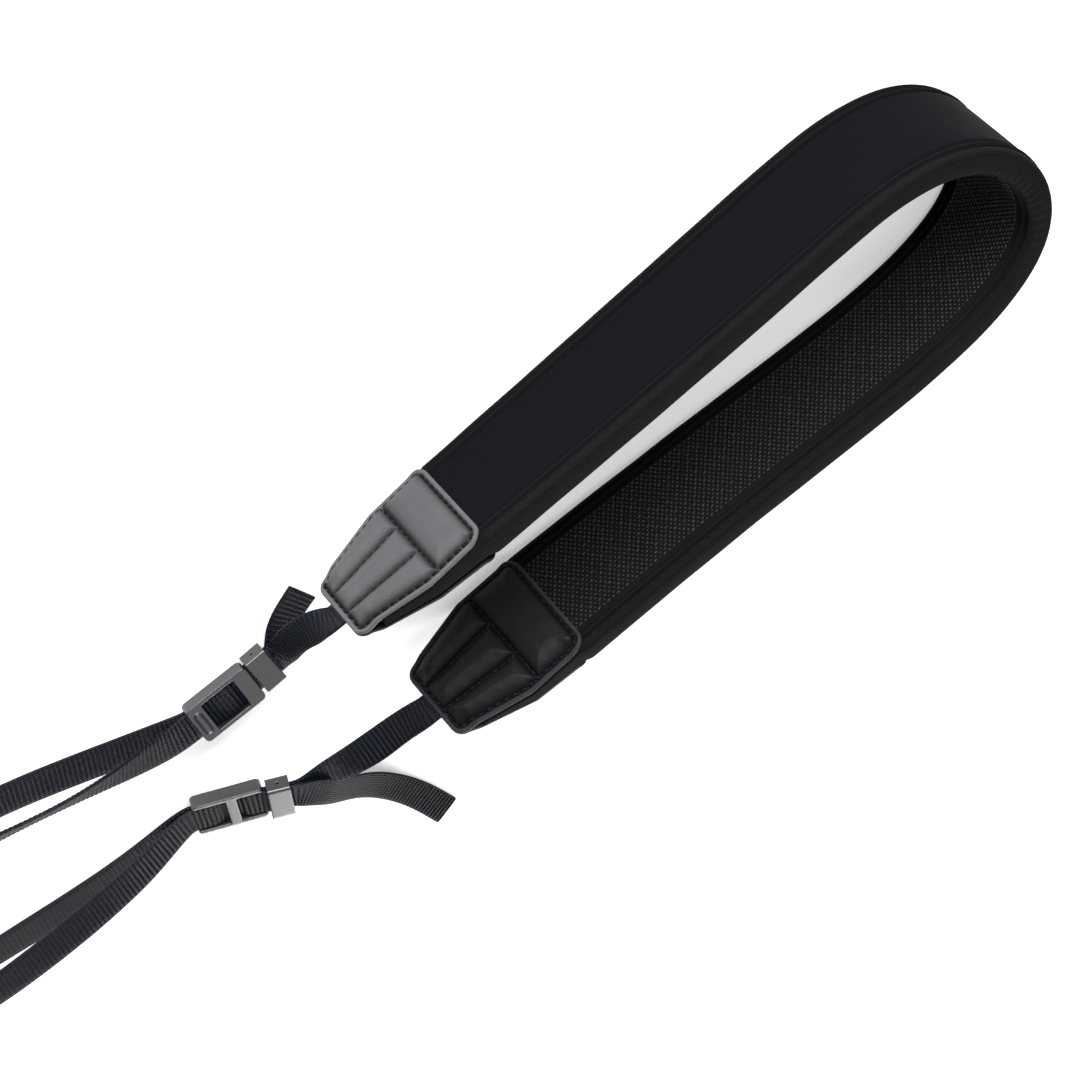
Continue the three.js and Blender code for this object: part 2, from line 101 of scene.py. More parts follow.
def distances_along(points: Array, closed: bool = False) -> Array:
    """The distance along a line of points up to each of them.

    Args:
        points: (n, k) places.
        closed: whether the line comes back to its first point.

    Returns:
        n distances, or n + 1 on a closed line.
    """
    line = np.vstack([points, points[:1]]) if closed else points
    return np.concatenate([[0.0], np.cumsum(np.linalg.norm(np.diff(line, axis=0), axis=1))])


class TableCurve:
    """A smooth cubic B-spline led by the columns of a table; it starts and ends on the end rows."""

    DIVISIONS = 600

    def __init__(self, rows: Sequence[Sequence[float]]) -> None:
        """Prepares the curve.

        Args:
            rows: the table; its first columns are x, y and, where there are more than three, z.
        """
        table = np.array(rows, float)
        self.last = len(table) - 1
        self.guarded = np.vstack([2 * table[0] - table[1], table, 2 * table[-1] - table[-2]])
        self.steps = np.linspace(0, 1, self.DIVISIONS + 1)

    def measure(self, columns: int) -> None:
        """Measures the length along the curve.

        Args:
            columns: how many of the first columns are places.
        """
        self.lengths = distances_along(self.at(self.steps)[:, :columns])
        self.length = float(self.lengths[-1])

    def _sum(self, t: Array, weigh: Callable[[Array], list[Array]]) -> Array:
        """The weighted sum of the four rows that lead each t."""
        row = np.clip(np.floor(t * self.last).astype(int), 0, self.last - 1)
        weights = weigh(t * self.last - row)
        return (np.stack(weights, -1)[..., None] / 6 * self.guarded[row[:, None] + np.arange(4)]).sum(1)

    def at(self, t: Array) -> Array:
        """All the columns at each t from 0 to 1."""
        return self._sum(t, lambda f: [
            (1 - f) ** 3, 3 * f**3 - 6 * f**2 + 4, -3 * f**3 + 3 * f**2 + 3 * f + 1, f**3])

    def slope(self, t: Array) -> Array:
        """The slope of all the columns at each t."""
        return self._sum(t, lambda f: [
            -3 * (1 - f) ** 2, 9 * f**2 - 12 * f, -9 * f**2 + 6 * f + 3, 3 * f**2])

    def t_at(self, distance: Array) -> Array:
        """The t of each distance along the curve."""
        return np.interp(distance, self.lengths, self.steps)


def unit(vectors: Array) -> Array:
    """The same directions with length 1."""
    return vectors / np.linalg.norm(vectors, axis=-1, keepdims=True)


def smooth(value: Array, low: float, high: float) -> Array:
    """A soft step from 0 at low to 1 at high."""
    part = np.clip((value - low) / (high - low), 0, 1)
    return part * part * (3 - 2 * part)


def waver(place: Array, wave: float, seed: float) -> Array:
    """A slow, uneven ripple between about -1 and 1.

    Args:
        place: where on the surface, any shape with the last axis (along, across), in mm.
        wave: about how far apart its crests are, in mm.
        seed: picks one ripple.

    Returns:
        The ripple at each place.
    """
    x, y = place[..., 0] / wave, place[..., 1] / wave
    total = np.zeros(x.shape)
    for k in range(1, 5):
        turn = seed * 1.7 + k * 2.4
        total += np.sin(6.28 * (x * math.cos(turn) + y * math.sin(turn)) * (0.7 + 0.23 * k) + seed * k)
    return total / 3


@dataclass(frozen=True)
class BandPath:
    """The band's middle line from the front tab's narrow end to the back tab's, and its sizes in mm."""

    width: float = 41.0
    thickness: float = 8.8
    edge_radius: float = 2.4
    tab_length: float = 44.0
    straight: float = 19.0  # how far a tab keeps its full width before it tapers
    wide_gap: float = 4.0  # half the space between a tab's two leaves at its wide seam
    narrow_gap: float = 0.9  # and at its narrow end
    rows: tuple = (  # x, y, and how far the upper edge leans outwards, in degrees
        (56, -37.5, 6), (12, -35, 6), (-30, -32.5, 3), (-70, -30.5, 1), (-106, -29, 0),
        (-137, -28, 0), (-159.5, -20.5, 0), (-173, -5, 0), (-176.5, 13, 0), (-171, 30, 1),
        (-153, 41, 1), (-126, 43, 2), (-92, 39, 3), (-50, 32.5, 5), (-12, 28, 8),
        (12, 25.5, 11), (57, 21.5, 12),
    )

    @property
    def curve(self) -> TableCurve:
        """The measured middle line."""
        curve = TableCurve(self.rows)
        curve.measure(2)
        return curve

    @property
    def seams(self) -> tuple[float, float]:
        """The distances of the two wide seams, where the tabs begin."""
        return self.tab_length, self.curve.length - self.tab_length

    def frames(self, distance: Array) -> tuple[Array, Array, Array, Array]:
        """The band's place at each distance.

        Args:
            distance: distances along the middle line, in mm.

        Returns:
            centre, along, out (across the thickness) and rise (up the width), one row for each.
        """
        curve = self.curve
        t = curve.t_at(distance)
        x, y, lean = curve.at(t).T
        heading = unit(curve.slope(t)[:, :2])
        zero = np.zeros_like(x)
        along = np.stack([heading[:, 0], heading[:, 1], zero], -1)
        level = np.stack([-heading[:, 1], heading[:, 0], zero], -1)
        lean = np.radians(lean)
        cos, sin = np.cos(lean)[:, None], np.sin(lean)[:, None]
        out = level * cos - UP * sin
        rise = UP * cos + level * sin
        standing = (self.width / 2 - self.edge_radius) * cos[:, 0]
        leaning = (self.thickness / 2 - self.edge_radius) * np.abs(sin[:, 0])
        centre = np.stack([x, y, standing + leaning + self.edge_radius], -1)
        return centre, along, out, rise

    def points(self, distance: Array, out: Array, rise: Array) -> Array:
        """Points of the band.

        Args:
            distance: n distances along it.
            out: (n, m) places across its thickness.
            rise: (n, m) places up its width.

        Returns:
            (n, m, 3) points, in mm.
        """
        centre, _, outward, upward = self.frames(distance)
        return centre[:, None] + outward[:, None] * out[..., None] + upward[:, None] * rise[..., None]


BAND = BandPath()


# ---- meshes -------------------------------------------------------------------------------------


@dataclass
class Shell:
    """A closed shell in the making: points in mm, faces, and a place in mm for each face corner."""

    points: Array
    faces: list
    places: Array
    attributes: dict = field(default_factory=dict)

    @classmethod
    def swept(cls, rings: Array, along: Array, around: Array) -> "Shell":
        """The closed tube through a row of rings, capped at both ends.

        Args:
            rings: (n, m, 3) points in mm.
            along: n distances, the first coordinate of the surface's own map.
            around: (m + 1) distances round the ring, the second one.

        Returns:
            The shell, its faces outwards.
        """
        n, m = rings.shape[:2]
        i, j = (grid.ravel() for grid in np.meshgrid(np.arange(n - 1), np.arange(m), indexing="ij"))
        k = (j + 1) % m
        quads = np.stack([i * m + j, i * m + k, (i + 1) * m + k, (i + 1) * m + j], -1)
        corners = np.stack([
            np.stack([along[i], around[j]], -1), np.stack([along[i], around[j + 1]], -1),
            np.stack([along[i + 1], around[j + 1]], -1), np.stack([along[i + 1], around[j]], -1)], 1)
        caps = [list(range(m))[::-1], list(range((n - 1) * m, n * m))]
        cap_places = [np.stack([np.full(m, along[e]), around[:m]], -1)[::s] for e, s in ((0, -1), (-1, 1))]
        places = np.vstack([corners.reshape(-1, 2), *cap_places])
        return cls(rings.reshape(-1, 3), quads.tolist() + caps, places).outward()

    @classmethod
    def plate(cls, top: Array, bottom: Array, places: Array) -> "Shell":
        """The closed plate between two faces on the same grid.

        Args:
            top: (n, m, 3) points of the upper face, in mm.
            bottom: (n, m, 3) points of the lower face.
            places: (n, m, 2) the surface's own map, in mm.

        Returns:
            The shell, its faces outwards.
        """
        n, m = top.shape[:2]
        at = np.arange(n * m).reshape(n, m)
        low = at + n * m

        def quads(a: Array, b: Array, c: Array, d: Array) -> Array:
            """Faces through four arrays of point numbers."""
            return np.stack([a.ravel(), b.ravel(), c.ravel(), d.ravel()], -1)

        faces = [
            quads(at[:-1, :-1], at[1:, :-1], at[1:, 1:], at[:-1, 1:]),
            quads(low[:-1, :-1], low[:-1, 1:], low[1:, 1:], low[1:, :-1]),
            quads(at[:-1, 0], low[:-1, 0], low[1:, 0], at[1:, 0]),
            quads(at[:-1, -1], at[1:, -1], low[1:, -1], low[:-1, -1]),
            quads(at[0, :-1], at[0, 1:], low[0, 1:], low[0, :-1]),
            quads(at[-1, :-1], low[-1, :-1], low[-1, 1:], at[-1, 1:]),
        ]
        every = np.vstack(faces)
        map_of = np.vstack([places.reshape(-1, 2)] * 2)
        points = np.vstack([top.reshape(-1, 3), bottom.reshape(-1, 3)])
        return cls(points, every.tolist(), map_of[every.ravel()]).outward()

    def outward(self) -> "Shell":
        """The same shell with its faces turned outwards, by the sign of its volume."""
        origin = self.points.mean(0)
        quads = np.array([face[:4] for face in self.faces if len(face) == 4])
        a, b, c, d = (self.points[quads[:, k]] - origin for k in range(4))
        volume = (np.cross(a, b) * c).sum() + (np.cross(a, c) * d).sum()
        if volume < 0:
            starts = np.cumsum([0] + [len(face) for face in self.faces])
            order = np.concatenate([np.arange(e - 1, s - 1, -1) for s, e in zip(starts[:-1], starts[1:])])
            self.faces = [face[::-1] for face in self.faces]
            self.places = self.places[order]
        return self

    def piece(self, name: str, material: Material) -> Piece:
        """A mesh object of this shell.

        Args:
            name: the piece's name.
            material: its finish.

        Returns:
            The object, at the origin, in metres.
        """
        mesh = bpy.data.meshes.new(name)
        mesh.from_pydata((self.points - MIDDLE) * MM, [], self.faces)
        layer = mesh.uv_layers.new(name="surface")
        layer.data.foreach_set("uv", (self.places * MM).astype(np.float32).ravel())
        for key, values in self.attributes.items():
            add_attribute(mesh, key, values)
        return mesh_object(name, mesh, material)


def add_attribute(mesh: Mesh, name: str, values: Array) -> None:
    """Writes one value, or one vector, for each point of a mesh."""
    vector = values.ndim == 2
    attribute = mesh.attributes.new(name, "FLOAT_VECTOR" if vector else "FLOAT", "POINT")
    attribute.data.foreach_set("vector" if vector else "value", values.astype(np.float32).ravel())


def mesh_object(name: str, mesh: Mesh, material: Material) -> Piece:
    """A smooth shaded object of a mesh, in its finish."""
    mesh.validate()
    mesh.materials.clear()
    mesh.materials.append(material)
    mesh.shade_smooth()
    piece = bpy.data.objects.new(name, mesh)
    bpy.context.scene.collection.objects.link(piece)
    return piece


def baked(piece: Piece) -> Piece:
    """The piece with its modifiers turned into a plain mesh."""
    graph = bpy.context.evaluated_depsgraph_get()
    mesh = bpy.data.meshes.new_from_object(piece.evaluated_get(graph), depsgraph=graph)
    piece.modifiers.clear()
    old = piece.data
    piece.data = mesh
    mesh.name = piece.name
    bpy.data.meshes.remove(old)
    return piece


def add_node(tree: Tree, kind: str, sockets: dict | None = None, **settings: object) -> Node:
    """Adds a node to a tree.

    Args:
        tree: the node tree.
        kind: the node's type.
        sockets: inputs by name or number; an output socket is linked and anything else is set.
        settings: the node's own settings.

    Returns:
        The node.
    """
    node = tree.nodes.new(kind)
    for key, value in settings.items():
        setattr(node, key, value)
    for key, value in (sockets or {}).items():
        if isinstance(value, bpy.types.NodeSocket):
            tree.links.new(value, node.inputs[key])
        else:
            node.inputs[key].default_value = value
    return node


# ---- what repeats -------------------------------------------------------------------------------


class Maker:
    """A Geometry Nodes tree with named inputs, run on a piece and then turned into plain mesh."""

    def __init__(self, name: str, **inputs: str) -> None:
        """Starts the tree.

        Args:
            name: the tree's name.
            inputs: the kind of each named input, such as Float or Int.
        """
        self.tree = bpy.data.node_groups.new(name, "GeometryNodeTree")
        face = self.tree.interface
        face.new_socket("Geometry", in_out="INPUT", socket_type="NodeSocketGeometry")
        inputs["Finish"] = "Material"
        self.ids = {
            key: face.new_socket(key, in_out="INPUT", socket_type=f"NodeSocket{kind}").identifier
            for key, kind in inputs.items()}
        face.new_socket("Geometry", in_out="OUTPUT", socket_type="NodeSocketGeometry")
        self.given = add_node(self.tree, "NodeGroupInput").outputs

    def carried(self, name: str, kind: str = "FLOAT_VECTOR") -> Socket:
        """What each point carries under a name."""
        node = add_node(self.tree, "GeometryNodeInputNamedAttribute", {"Name": name}, data_type=kind)
        return node.outputs[0]

    def close(self, geometry: Socket) -> None:
        """Ends the tree: real geometry in its finish."""
        real = add_node(self.tree, "GeometryNodeRealizeInstances", {"Geometry": geometry})
        dressed = add_node(self.tree, "GeometryNodeSetMaterial", {
            "Geometry": real.outputs[0], "Material": self.given["Finish"]})
        add_node(self.tree, "NodeGroupOutput", {"Geometry": dressed.outputs[0]})

    def apply(self, piece: Piece, **values: object) -> Piece:
        """Runs the tree on a piece.

        Args:
            piece: what it works on.
            values: the named inputs' values.

        Returns:
            The piece, a plain smooth mesh.
        """
        modifier = piece.modifiers.new(self.tree.name, "NODES")
        modifier.node_group = self.tree
        for key, value in values.items():
            modifier[self.ids[key]] = value
        baked(piece)
        piece.data.shade_smooth()
        return piece


class Repeater(Maker):
    """Sets one small bead on each point of a cloud, turned along it, as stitches and knots are."""

    SIZES = ("Length", "Width", "Height")

    def __init__(self, name: str) -> None:
        """Builds the tree once; every row of stitches or knots uses it."""
        floats = dict.fromkeys((*self.SIZES, "Uneven"), "Float")
        super().__init__(name, **floats, Seed="Int", Facets="Int", Rings="Int")
        tree, given = self.tree, self.given
        first = add_node(tree, "FunctionNodeAlignRotationToVector", {
            "Vector": self.carried("along")}, axis="X")
        turned = add_node(tree, "FunctionNodeAlignRotationToVector", {
            "Rotation": first.outputs[0], "Vector": self.carried("lift")}, axis="Z", pivot_axis="X")
        chance = add_node(tree, "FunctionNodeRandomValue", {"Seed": given["Seed"]}, data_type="FLOAT")
        centred = add_node(tree, "ShaderNodeMath", {0: chance.outputs[1], 1: 0.5}, operation="SUBTRACT")
        spread = add_node(tree, "ShaderNodeMath", {
            0: centred.outputs[0], 1: given["Uneven"], 2: 1.0}, operation="MULTIPLY_ADD")
        size = add_node(tree, "ShaderNodeCombineXYZ", {i: given[key] for i, key in enumerate(self.SIZES)})
        even = add_node(tree, "ShaderNodeVectorMath", {
            0: size.outputs[0], "Scale": spread.outputs[0]}, operation="SCALE")
        factor = add_node(tree, "ShaderNodeCombineXYZ", {0: self.carried("stretch", "FLOAT"), 1: 1.0, 2: 1.0})
        scale = add_node(tree, "ShaderNodeVectorMath", {
            0: even.outputs[0], 1: factor.outputs[0]}, operation="MULTIPLY")
        bead = add_node(tree, "GeometryNodeMeshUVSphere", {
            "Segments": given["Facets"], "Rings": given["Rings"], "Radius": 0.5})
        cloud = add_node(tree, "GeometryNodeMeshToPoints", {"Mesh": given["Geometry"]})
        placed = add_node(tree, "GeometryNodeInstanceOnPoints", {
            "Points": cloud.outputs[0], "Instance": bead.outputs[0],
            "Rotation": turned.outputs[0], "Scale": scale.outputs[0]})
        self.close(placed.outputs[0])

    def row(self, name: str, points: Array, along: Array, lift: Array, size: tuple[float, float, float],
            material: Material, seed: int, uneven: float = 0.15,
            stretch: Array | None = None, facets: tuple[int, int] = (8, 5)) -> Piece:
        """One piece of many small beads.

        Args:
            name: the piece's name.
            points: where each bead lies, in mm.
            along: the way each bead points.
            lift: the way each bead stands up.
            size: length, width and height of a bead, in mm.
            material: its finish.
            seed: for the beads' uneven sizes.
            uneven: how much the sizes vary, as a share.
            stretch: a factor on each bead's length.
            facets: how many sides and rings a bead has.

        Returns:
            The object, a plain mesh.
        """
        mesh = bpy.data.meshes.new(name)
        mesh.from_pydata((points - MIDDLE) * MM, [], [])
        add_attribute(mesh, "along", along)
        add_attribute(mesh, "lift", lift)
        add_attribute(mesh, "stretch", np.ones(len(points)) if stretch is None else stretch)
        piece = bpy.data.objects.new(name, mesh)
        bpy.context.scene.collection.objects.link(piece)
        sizes = {key: value * MM for key, value in zip(self.SIZES, size)}
        return self.apply(piece, **sizes, Uneven=uneven, Seed=seed, Facets=facets[0], Rings=facets[1],
                          Finish=material)


class Ribber(Maker):
    """Raises rounded ribs across a strap, from the distance along it that its points carry."""

    FULLNESS = 0.75  # below 1, the ribs' tops are broad and the valleys between them narrow

    def __init__(self, name: str) -> None:
        """Builds the tree once for both straps."""
        super().__init__(name, Pitch="Float", Height="Float")
        tree, given = self.tree, self.given
        ribs = add_node(tree, "ShaderNodeMath", {
            0: self.carried("distance", "FLOAT"), 1: given["Pitch"]}, operation="DIVIDE")
        turns = add_node(tree, "ShaderNodeMath", {0: ribs.outputs[0], 1: math.pi}, operation="MULTIPLY")
        wave = add_node(tree, "ShaderNodeMath", {0: turns.outputs[0]}, operation="SINE")
        bumps = add_node(tree, "ShaderNodeMath", {0: wave.outputs[0]}, operation="ABSOLUTE")
        crown = add_node(tree, "ShaderNodeMath", {0: bumps.outputs[0], 1: self.FULLNESS}, operation="POWER")
        height = add_node(tree, "ShaderNodeMath", {
            0: crown.outputs[0], 1: given["Height"]}, operation="MULTIPLY")
        move = add_node(tree, "ShaderNodeVectorMath", {
            0: self.carried("lift"), "Scale": height.outputs[0]}, operation="SCALE")
        ribbed = add_node(tree, "GeometryNodeSetPosition", {
            "Geometry": given["Geometry"], "Offset": move.outputs[0]})
        self.close(ribbed.outputs[0])

    def rib(self, piece: Piece, pitch: float, height: float, material: Material) -> Piece:
        """Ribs a strap.

        Args:
            piece: the strap, its points carrying distance (mm) and lift.
            pitch: from rib to rib, in mm.
            height: the ribs' height, in mm.
            material: its finish.

        Returns:
            The strap, a plain mesh.
        """
        return self.apply(piece, Pitch=pitch, Height=height * MM, Finish=material)


# ---- finishes -----------------------------------------------------------------------------------


def linear(colour: str) -> tuple[float, float, float, float]:
    """An sRGB hex colour as linear red, green, blue and alpha."""
    parts = (int(colour[i : i + 2], 16) / 255 for i in (1, 3, 5))
    return (*(c / 12.92 if c <= 0.04045 else ((c + 0.055) / 1.055) ** 2.4 for c in parts), 1.0)


def bands_scale(pitch: float) -> float:
    """The Wave Texture scale that sets bands this far apart, in mm."""
    return 2 * math.pi / 20 / (pitch * MM)


def cells_scale(size: float) -> float:
    """The texture scale whose cells are this wide, in mm."""
    return 1 / (size * MM)


@dataclass(frozen=True)
class Finish:
    """What every finish has: a name for how it was made, two close shades, roughness and gloss."""

    name: str
    dark: str
    light: str
    roughness: float
    specular: float
    patch: float = 14.0  # the width of the shade's slow patches, in mm

    UNEVEN = 0.08  # how far the roughness drifts either way

    def start(self) -> tuple[Material, Tree, Node, Socket, Socket]:
        """Starts the material.

        Returns:
            The material, its tree, its surface shader, the piece's own map, and the slowly varying shade.
        """
        material = bpy.data.materials.new(self.name)
        material.use_nodes = True
        tree = material.node_tree
        surface = tree.nodes["Principled BSDF"]
        surface.inputs["Specular IOR Level"].default_value = self.specular
        place = add_node(tree, "ShaderNodeTexCoord").outputs["Object"]
        patches = add_node(tree, "ShaderNodeTexNoise", {
            "Vector": place, "Scale": cells_scale(self.patch), "Detail": 3.0, "Roughness": 0.6})
        shade = add_node(tree, "ShaderNodeMix", {
            0: patches.outputs["Fac"], 6: linear(self.dark), 7: linear(self.light)}, data_type="RGBA")
        gloss = add_node(tree, "ShaderNodeMapRange", {
            "Value": patches.outputs["Fac"], "To Min": self.roughness - self.UNEVEN,
            "To Max": self.roughness + self.UNEVEN})
        tree.links.new(gloss.outputs[0], surface.inputs["Roughness"])
        surface_map = add_node(tree, "ShaderNodeUVMap", uv_map="surface").outputs[0]
        return material, tree, surface, surface_map, shade.outputs[2]

    @staticmethod
    def finish(tree: Tree, surface: Node, shade: Socket,
               reliefs: Sequence[tuple[Socket, float]]) -> None:
        """Links the colour and a chain of bumps.

        Args:
            tree: the material's tree.
            surface: its shader.
            shade: the colour.
            reliefs: heights from 0 to 1, each with its depth in mm.
        """
        tree.links.new(shade, surface.inputs["Base Color"])
        previous = None
        for height, depth in reliefs:
            sockets = {"Height": height, "Strength": 1.0, "Distance": depth * MM}
            if previous is not None:
                sockets["Normal"] = previous
            previous = add_node(tree, "ShaderNodeBump", sockets).outputs[0]
        if previous is not None:
            tree.links.new(previous, surface.inputs["Normal"])


@dataclass(frozen=True)
class KnittedCover(Finish):
    """Polyester jersey, knitted and stretched over foam: fine ribs keep it dull and soft edged."""

    knit: float = 1.1  # real stitches are about 0.5 mm; drawn coarser so that they show

    def material(self) -> Material:
        """The jersey."""
        material, tree, surface, place, shade = self.start()
        ribs = add_node(tree, "ShaderNodeTexWave", {
            "Vector": place, "Scale": bands_scale(self.knit), "Distortion": 1.2, "Detail": 1.0,
            "Detail Scale": 3.0}, bands_direction="X")
        rows = add_node(tree, "ShaderNodeTexWave", {
            "Vector": place, "Scale": bands_scale(self.knit * 0.8), "Distortion": 1.0}, bands_direction="Y")
        loops = add_node(tree, "ShaderNodeMath", {
            0: ribs.outputs["Fac"], 1: rows.outputs["Fac"]}, operation="MULTIPLY")
        worn = add_node(tree, "ShaderNodeMix", {
            0: loops.outputs[0], 6: shade, 7: linear(self.light)}, data_type="RGBA")
        self.finish(tree, surface, worn.outputs[2], [(loops.outputs[0], 0.10)])
        return material


@dataclass(frozen=True)
class SmoothSkin(Finish):
    """Smooth-skin neoprene, pressed against a plate: matt, even and rubbery, with the finest pebble."""

    pebble: float = 0.8
    swell: float = 18.0  # the slow waves left by the foam under it

    def material(self) -> Material:
        """The rubber skin."""
        material, tree, surface, place, shade = self.start()
        pebbles = add_node(tree, "ShaderNodeTexNoise", {
            "Vector": place, "Scale": cells_scale(self.pebble), "Detail": 2.0})
        waves = add_node(tree, "ShaderNodeTexNoise", {
            "Vector": place, "Scale": cells_scale(self.swell), "Detail": 1.0})
        self.finish(tree, surface, shade, [(waves.outputs["Fac"], 0.5), (pebbles.outputs["Fac"], 0.04)])
        return material


@dataclass(frozen=True)
class OpenMesh(Finish):
    """Raschel-knitted spacer mesh: dark between its yarns, with rows of tiny holes."""

    hole: float = 0.9
    row: float = 1.1

    def material(self) -> Material:
        """The mesh's ground."""
        material, tree, surface, place, shade = self.start()
        ribs = add_node(tree, "ShaderNodeTexWave", {
            "Vector": place, "Scale": bands_scale(self.hole)}, bands_direction="X")
        rows = add_node(tree, "ShaderNodeTexWave", {
            "Vector": place, "Scale": bands_scale(self.row)}, bands_direction="Y")
        holes = add_node(tree, "ShaderNodeMath", {
            0: ribs.outputs["Fac"], 1: rows.outputs["Fac"]}, operation="MULTIPLY")
        colour = add_node(tree, "ShaderNodeMix", {
            0: holes.outputs[0], 6: linear(self.dark), 7: shade}, data_type="RGBA")
        self.finish(tree, surface, colour.outputs[2], [(holes.outputs[0], 0.15)])
        return material


@dataclass(frozen=True)
class GrainedLeather(Finish):
    """Corrected-grain leather with a satin dressing: fine pores, scuffs on its rims, and painted shade along
    its seams.
    """

    scuffed: str = "#5a5b5d"
    seam_shade_colour: str = "#101011"  # painted shade, laid along the seams where the stitches draw the leather into creases
    grain: float = 0.75
    wrinkle: float = 2.6

    def material(self) -> Material:
        """The leather."""
        material, tree, surface, _, shade = self.start()
        place = add_node(tree, "ShaderNodeTexCoord").outputs["Object"]
        pores = add_node(tree, "ShaderNodeTexVoronoi", {"Vector": place, "Scale": cells_scale(self.grain)})
        creases = add_node(tree, "ShaderNodeTexNoise", {
            "Vector": place, "Scale": cells_scale(self.wrinkle), "Detail": 5.0, "Roughness": 0.65,
            "Distortion": 0.6})
        wear = add_node(tree, "ShaderNodeAttribute", attribute_name="wear").outputs["Fac"]
        rubbed = add_node(tree, "ShaderNodeMath", {
            0: wear, 1: creases.outputs["Fac"]}, operation="MULTIPLY")
        strong = add_node(tree, "ShaderNodeMath", {
            0: rubbed.outputs[0], 1: 1.5}, operation="MULTIPLY", use_clamp=True)
        colour = add_node(tree, "ShaderNodeMix", {
            0: strong.outputs[0], 6: shade, 7: linear(self.scuffed)}, data_type="RGBA")
        # painted shade: along the seams' creases the colour goes towards the seam shade colour
        seam_shade_mask = add_node(tree, "ShaderNodeAttribute", attribute_name="seam_shade").outputs["Fac"]
        seam_shaded = add_node(tree, "ShaderNodeMix", {
            0: seam_shade_mask, 6: colour.outputs[2], 7: linear(self.seam_shade_colour)}, data_type="RGBA")
        self.finish(tree, surface, seam_shaded.outputs[2],
                    [(creases.outputs["Fac"], 0.10), (pores.outputs["Distance"], 0.05)])
        return material


@dataclass(frozen=True)
class BondedThread(Finish):
    """Bonded nylon sewing thread, twisted and waxed: dark, with a slight shine along each stitch."""

    twist: float = 0.5

    def material(self) -> Material:
        """The thread, also used for the knots of the mesh."""
        material, tree, surface, _, shade = self.start()
        place = add_node(tree, "ShaderNodeTexCoord").outputs["Object"]
        strands = add_node(tree, "ShaderNodeTexWave", {
            "Vector": place, "Scale": bands_scale(self.twist), "Distortion": 1.0},
            bands_direction="DIAGONAL")
        self.finish(tree, surface, shade, [(strands.outputs["Fac"], 0.05)])
        return material


@dataclass(frozen=True)
class NylonWebbing(Finish):
    """Woven nylon webbing, dyed navy black: ribs across it that shine on top, with painted shade darkening
    the valleys between them.
    """

    pitch: float = 1.5
    yarn: float = 0.7

    def material(self) -> Material:
        """The weave."""
        material, tree, surface, place, shade = self.start()
        ribs = add_node(tree, "ShaderNodeTexWave", {
            "Vector": place, "Scale": bands_scale(self.pitch), "Distortion": 0.25, "Detail": 2.0,
            "Detail Scale": 4.0}, bands_direction="X")
        yarns = add_node(tree, "ShaderNodeTexWave", {
            "Vector": place, "Scale": bands_scale(self.yarn), "Distortion": 1.5, "Detail": 1.0},
            bands_direction="Y")
        # painted shade: the valleys between the ribs go to the near-black dark colour, and the rib tops keep
        # the navy
        colour = add_node(tree, "ShaderNodeMix", {
            0: ribs.outputs["Fac"], 6: linear(self.dark), 7: shade}, data_type="RGBA")
        self.finish(tree, surface, colour.outputs[2],
                    [(yarns.outputs["Fac"], 0.12), (ribs.outputs["Fac"], 0.06)])
        return material


@dataclass(frozen=True)
class MouldedPlastic(Finish):
    """Acetal resin, injection moulded in a spark-eroded tool: satin, finely stippled, a little scuffed."""

    stipple: float = 0.5
    mark: float = 3.0
    scuffed: str = "#3c3d40"

    def material(self) -> Material:
        """The plastic."""
        material, tree, surface, _, shade = self.start()
        place = add_node(tree, "ShaderNodeTexCoord").outputs["Object"]
        stipple = add_node(tree, "ShaderNodeTexNoise", {
            "Vector": place, "Scale": cells_scale(self.stipple), "Detail": 2.0})
        marks = add_node(tree, "ShaderNodeTexNoise", {
            "Vector": place, "Scale": cells_scale(self.mark), "Detail": 6.0, "Roughness": 0.75})
        scuffs = add_node(tree, "ShaderNodeMapRange", {
            "Value": marks.outputs["Fac"], "From Min": 0.62, "From Max": 0.8, "To Max": 0.5})
        colour = add_node(tree, "ShaderNodeMix", {
            0: scuffs.outputs[0], 6: shade, 7: linear(self.scuffed)}, data_type="RGBA")
        self.finish(tree, surface, colour.outputs[2], [(stipple.outputs["Fac"], 0.03)])
        return material


# ---- the padded band ----------------------------------------------------------------------------


def leaf_gap(from_seam: Array) -> Array:
    """Half the space between a tab's two leaves, in mm, at each distance from its wide seam."""
    part = np.clip(from_seam, 0, BAND.tab_length) / BAND.tab_length
    return BAND.wide_gap + (BAND.narrow_gap - BAND.wide_gap) * part


def tapered(wide: float, narrow: float, from_seam: Array) -> Array:
    """A half width that stays wide along the tab's straight stretch and then tapers, in mm."""
    part = np.clip((from_seam - BAND.straight) / (BAND.tab_length - BAND.straight), 0, 1)
    return wide + (narrow - wide) * part


